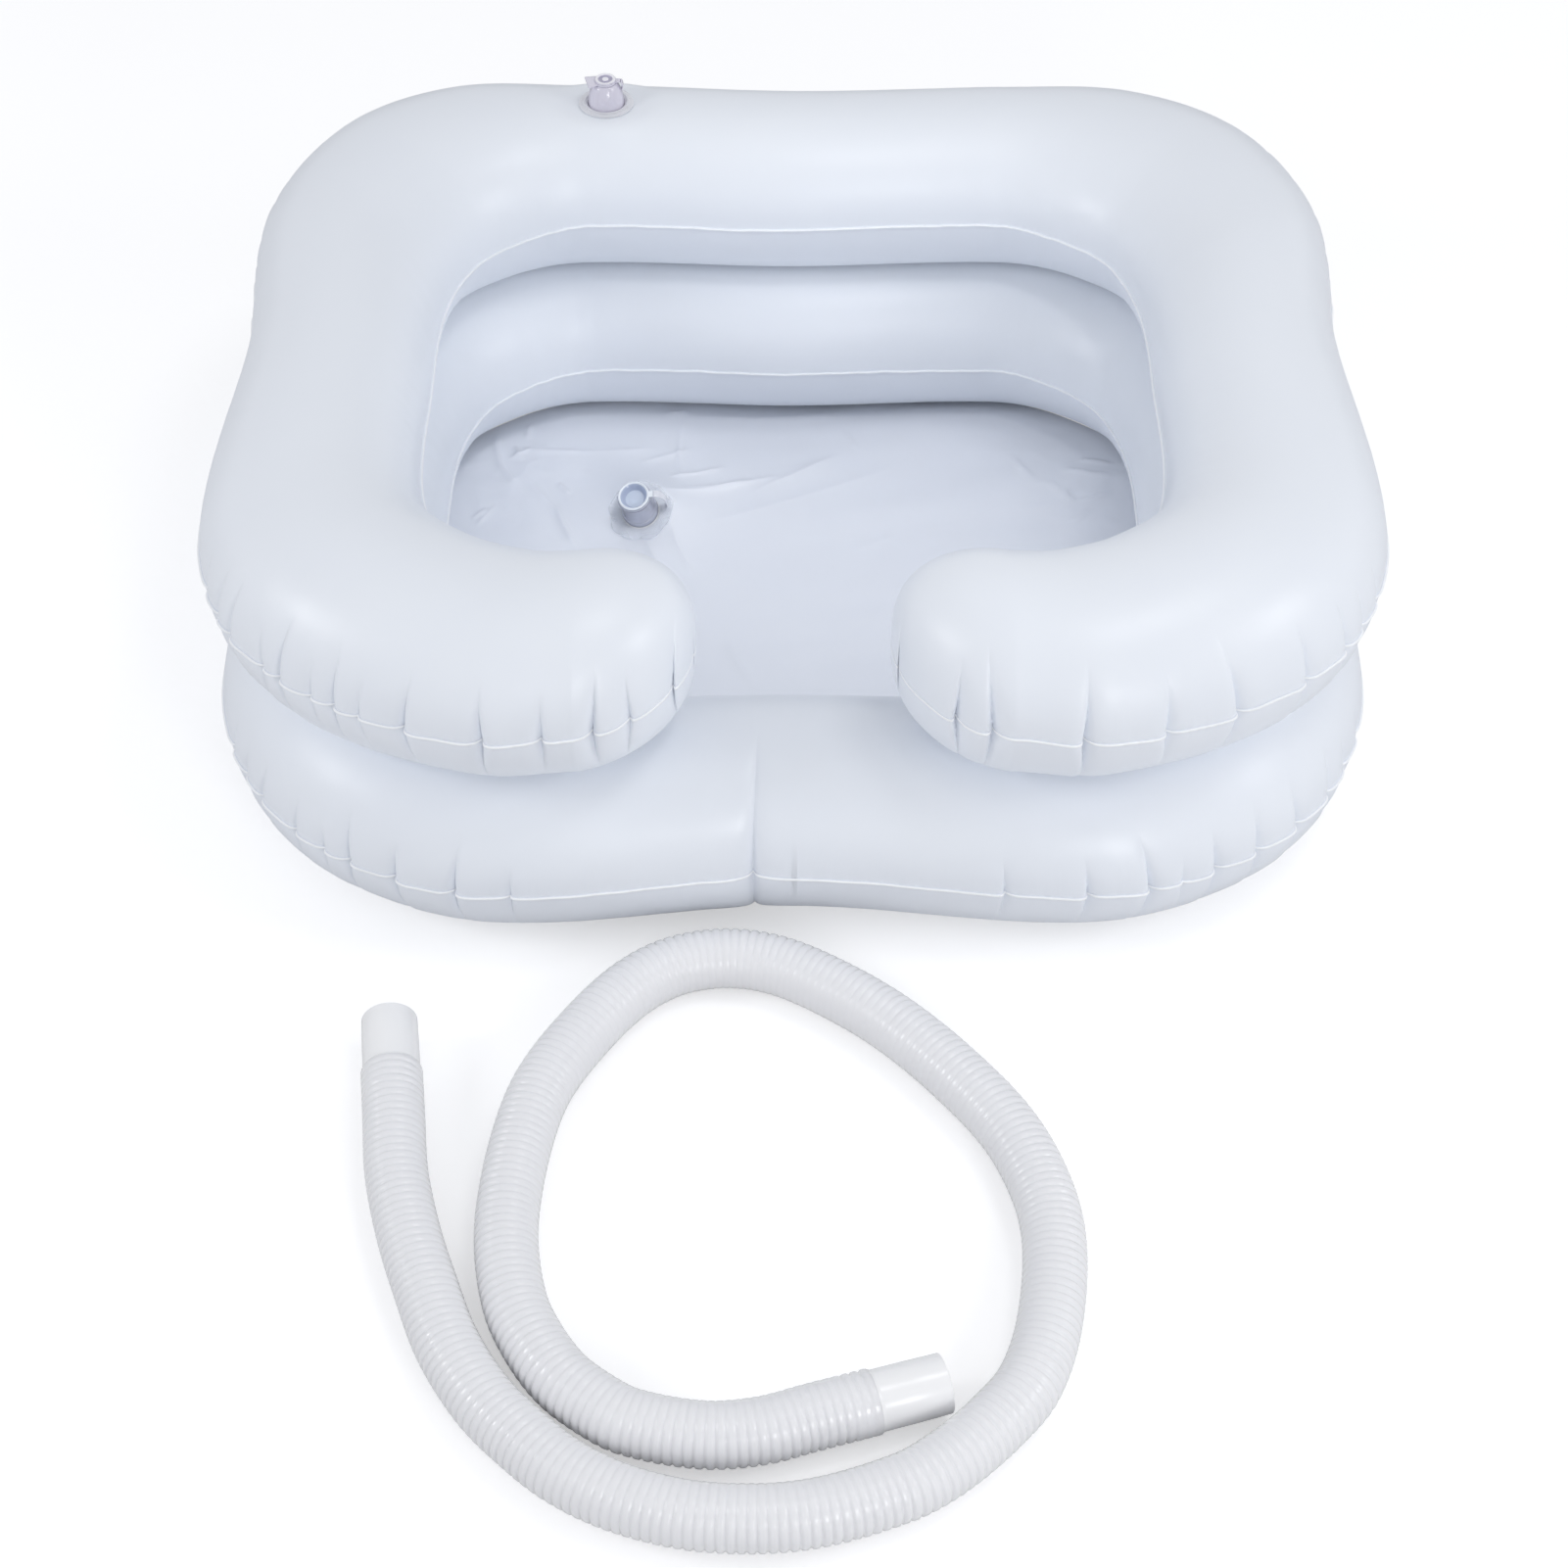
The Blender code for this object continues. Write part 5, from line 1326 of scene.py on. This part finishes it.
# Painted shade in the cap's dish and a painted highlight on its nub and raised rim.
valve_dish_painted_shade = plastic("valve_dish_painted_shade", (0.56, 0.54, 0.67), (0.50, 0.48, 0.61), 0.16, 0.03,
                       coat=0.3)
valve_top_painted_highlight = plastic("valve_top_painted_highlight", (0.95, 0.94, 0.99), (0.92, 0.91, 0.97), 0.16, 0.03, coat=0.4)
valve_film = plastic("valve_film", (0.93, 0.94, 0.98), (0.90, 0.91, 0.96), 0.14, 0.03,
                     coat=0.3, rim=(0.62, 0.63, 0.70), see_through=0.55)
drain_pvc = plastic("drain_pvc", (0.58, 0.60, 0.70), (0.50, 0.52, 0.63), 0.14, 0.03,
                    coat=0.4, rim=(0.17, 0.17, 0.23), see_through=0.20)
drain_cup = plastic("drain_cup", (0.72, 0.80, 0.93), (0.66, 0.74, 0.89), 0.16, 0.03,
                    coat=0.3, rim=(0.38, 0.41, 0.52), see_through=0.10)
# Painted shade on the plug cup's sloping wall and a painted highlight on its lip and link.
drain_cup_wall_painted_shade = plastic("drain_cup_wall_painted_shade", (0.50, 0.56, 0.70), (0.44, 0.50, 0.65), 0.16, 0.03,
                       coat=0.3)
drain_plug_painted_highlight = plastic("drain_plug_painted_highlight", (0.93, 0.96, 1.00), (0.90, 0.94, 0.99), 0.16, 0.03, coat=0.4)
drain_film = plastic("drain_film", (0.92, 0.95, 1.00), (0.89, 0.93, 1.00), 0.14, 0.03,
                     coat=0.2, rim=(0.80, 0.84, 0.95), see_through=0.95)
# The white rim colours of the hose and sleeves are painted light along their edges.
hose_pe = plastic("hose_pe", (0.900, 0.900, 0.920), (0.870, 0.870, 0.895), 0.20, 0.04,
                  dimple=0.000006, subsurface=0.5, rim=(1.0, 1.0, 1.0))
sleeve_pe = plastic("sleeve_pe", (0.985, 0.985, 0.99), (0.975, 0.975, 0.985), 0.22, 0.03,
                    dimple=0.000006, rim=(1.0, 1.0, 1.0))
for piece, materials in ((upper_skin, (skin_pvc, weld_painted_highlight_pvc, well_weld_painted_highlight_pvc)),
                         (lower_skin, (skin_pvc, weld_painted_highlight_pvc, well_weld_painted_highlight_pvc)),
                         (floor_film, (film_pvc,)), (hose, (hose_pe,)),
                         (sleeves[0], (sleeve_pe,)), (sleeves[1], (sleeve_pe,)),
                         (disc, (drain_film,)), (spout, (drain_pvc,)),
                         (plug, (drain_cup, drain_cup_wall_painted_shade, drain_plug_painted_highlight)),
                         (plug_strap, (valve_film,)),
                         *((piece, (valve_pvc,)) for piece in valve_pieces)):
    for material in materials:
        piece.data.materials.append(material)
# The caps also get the dish's painted shade and the painted highlight of the nub and rim.
for cap in (valve_pieces[3], valve_pieces[8]):
    cap.data.materials.append(valve_dish_painted_shade)
    cap.data.materials.append(valve_top_painted_highlight)
for piece in (valve_pieces[0], valve_pieces[5]):
    piece.data.materials[0] = valve_film

# %% [markdown]
# ## Light and background
#
# The photograph was taken on white under a big soft lamp, high up and a little to the
# right: the well's right side lies in a soft shadow and its left wall is bright. Two
# lower lamps, left and right, give the pale patches on the front corners and light the
# steep walls of the folds. A front lamp reaches under the upper ring, and a narrow lamp
# lights the well. A plain bluish world fills the rest. The floor is white and keeps
# the object's shadow. What the camera sees past the object is pure white, as in
# the photograph.

# %% Lamps
MIDDLE = (0, 0, 0.1)
LAMPS = (
    ("top_lamp", (0.72, -0.25, 2.10), 0.6, 4.0),
    ("front_lamp", (0.65, -1.80, 0.80), 0.45, 5.0),
    ("left_lamp", (-1.45, -0.50, 0.95), 0.50, 4.4),
    ("right_lamp", (1.45, -0.50, 0.95), 0.50, 3.6),
)
WELL_LAMP, WELL_MIDDLE = Vector((0.28, -0.60, 1.55)), Vector((0, 0.06, 0.03))

for name, place, size, power in LAMPS:
    lamp = bpy.data.lights.new(name, "AREA")
    lamp.shape = "DISK"
    lamp.size = size
    lamp.energy = power
    look(add_object(name, lamp), place, Vector(MIDDLE) - Vector(place))
well_light = bpy.data.lights.new("well_lamp", "SPOT")
well_light.energy = 27.0
well_light.spot_size = math.radians(15)
well_light.spot_blend = 1.0
well_light.shadow_soft_size = 0.12
look(add_object("well_lamp", well_light), WELL_LAMP, WELL_MIDDLE - WELL_LAMP)
print(len(LAMPS) + 1, "lamps")

# %% World and floor
ROOM_LIGHT, FLOOR_GLOW = 0.57, 0.45
world = bpy.data.worlds.new("white_room")
bpy.context.scene.world = world
world.use_nodes = True
room = world.node_tree
background = room.nodes["Background"]
rays = room.nodes.new("ShaderNodeLightPath").outputs
seen = math_node(room, "ADD", rays["Is Camera Ray"],
                 math_node(room, "ADD", rays["Is Glossy Ray"], rays["Is Transmission Ray"]))
put_in(room, background.inputs["Strength"], mapped(room, seen, (0.0, 1.0), (ROOM_LIGHT, 1.0)))
put_in(room, background.inputs["Color"], (0.95, 0.967, 1.0))

table_mesh = bpy.data.meshes.new("table_top")
table_mesh.from_pydata([(-6, -6, 0), (6, -6, 0), (6, 6, 0), (-6, 6, 0)], [], [(0, 1, 2, 3)])
table = add_object("table_top", table_mesh)
table.location.z = -0.0002
white, tree, shader = new_material("white_table")
path = tree.nodes.new("ShaderNodeLightPath")
glow = mapped(tree, path.outputs["Is Camera Ray"], (0.0, 1.0), (0.0, FLOOR_GLOW))
for label, value in (("Base Color", (0.76, 0.76, 0.77)), ("Roughness", 0.9),
                     ("Specular IOR Level", 0.0), ("Emission Color", (1.0, 1.0, 1.0)),
                     ("Emission Strength", glow)):
    put_in(tree, shader.inputs[label], value)
table_mesh.materials.append(white)
bpy.context.scene.view_settings.view_transform = "Standard"
print("the floor is", round(table.dimensions.x), "m wide")
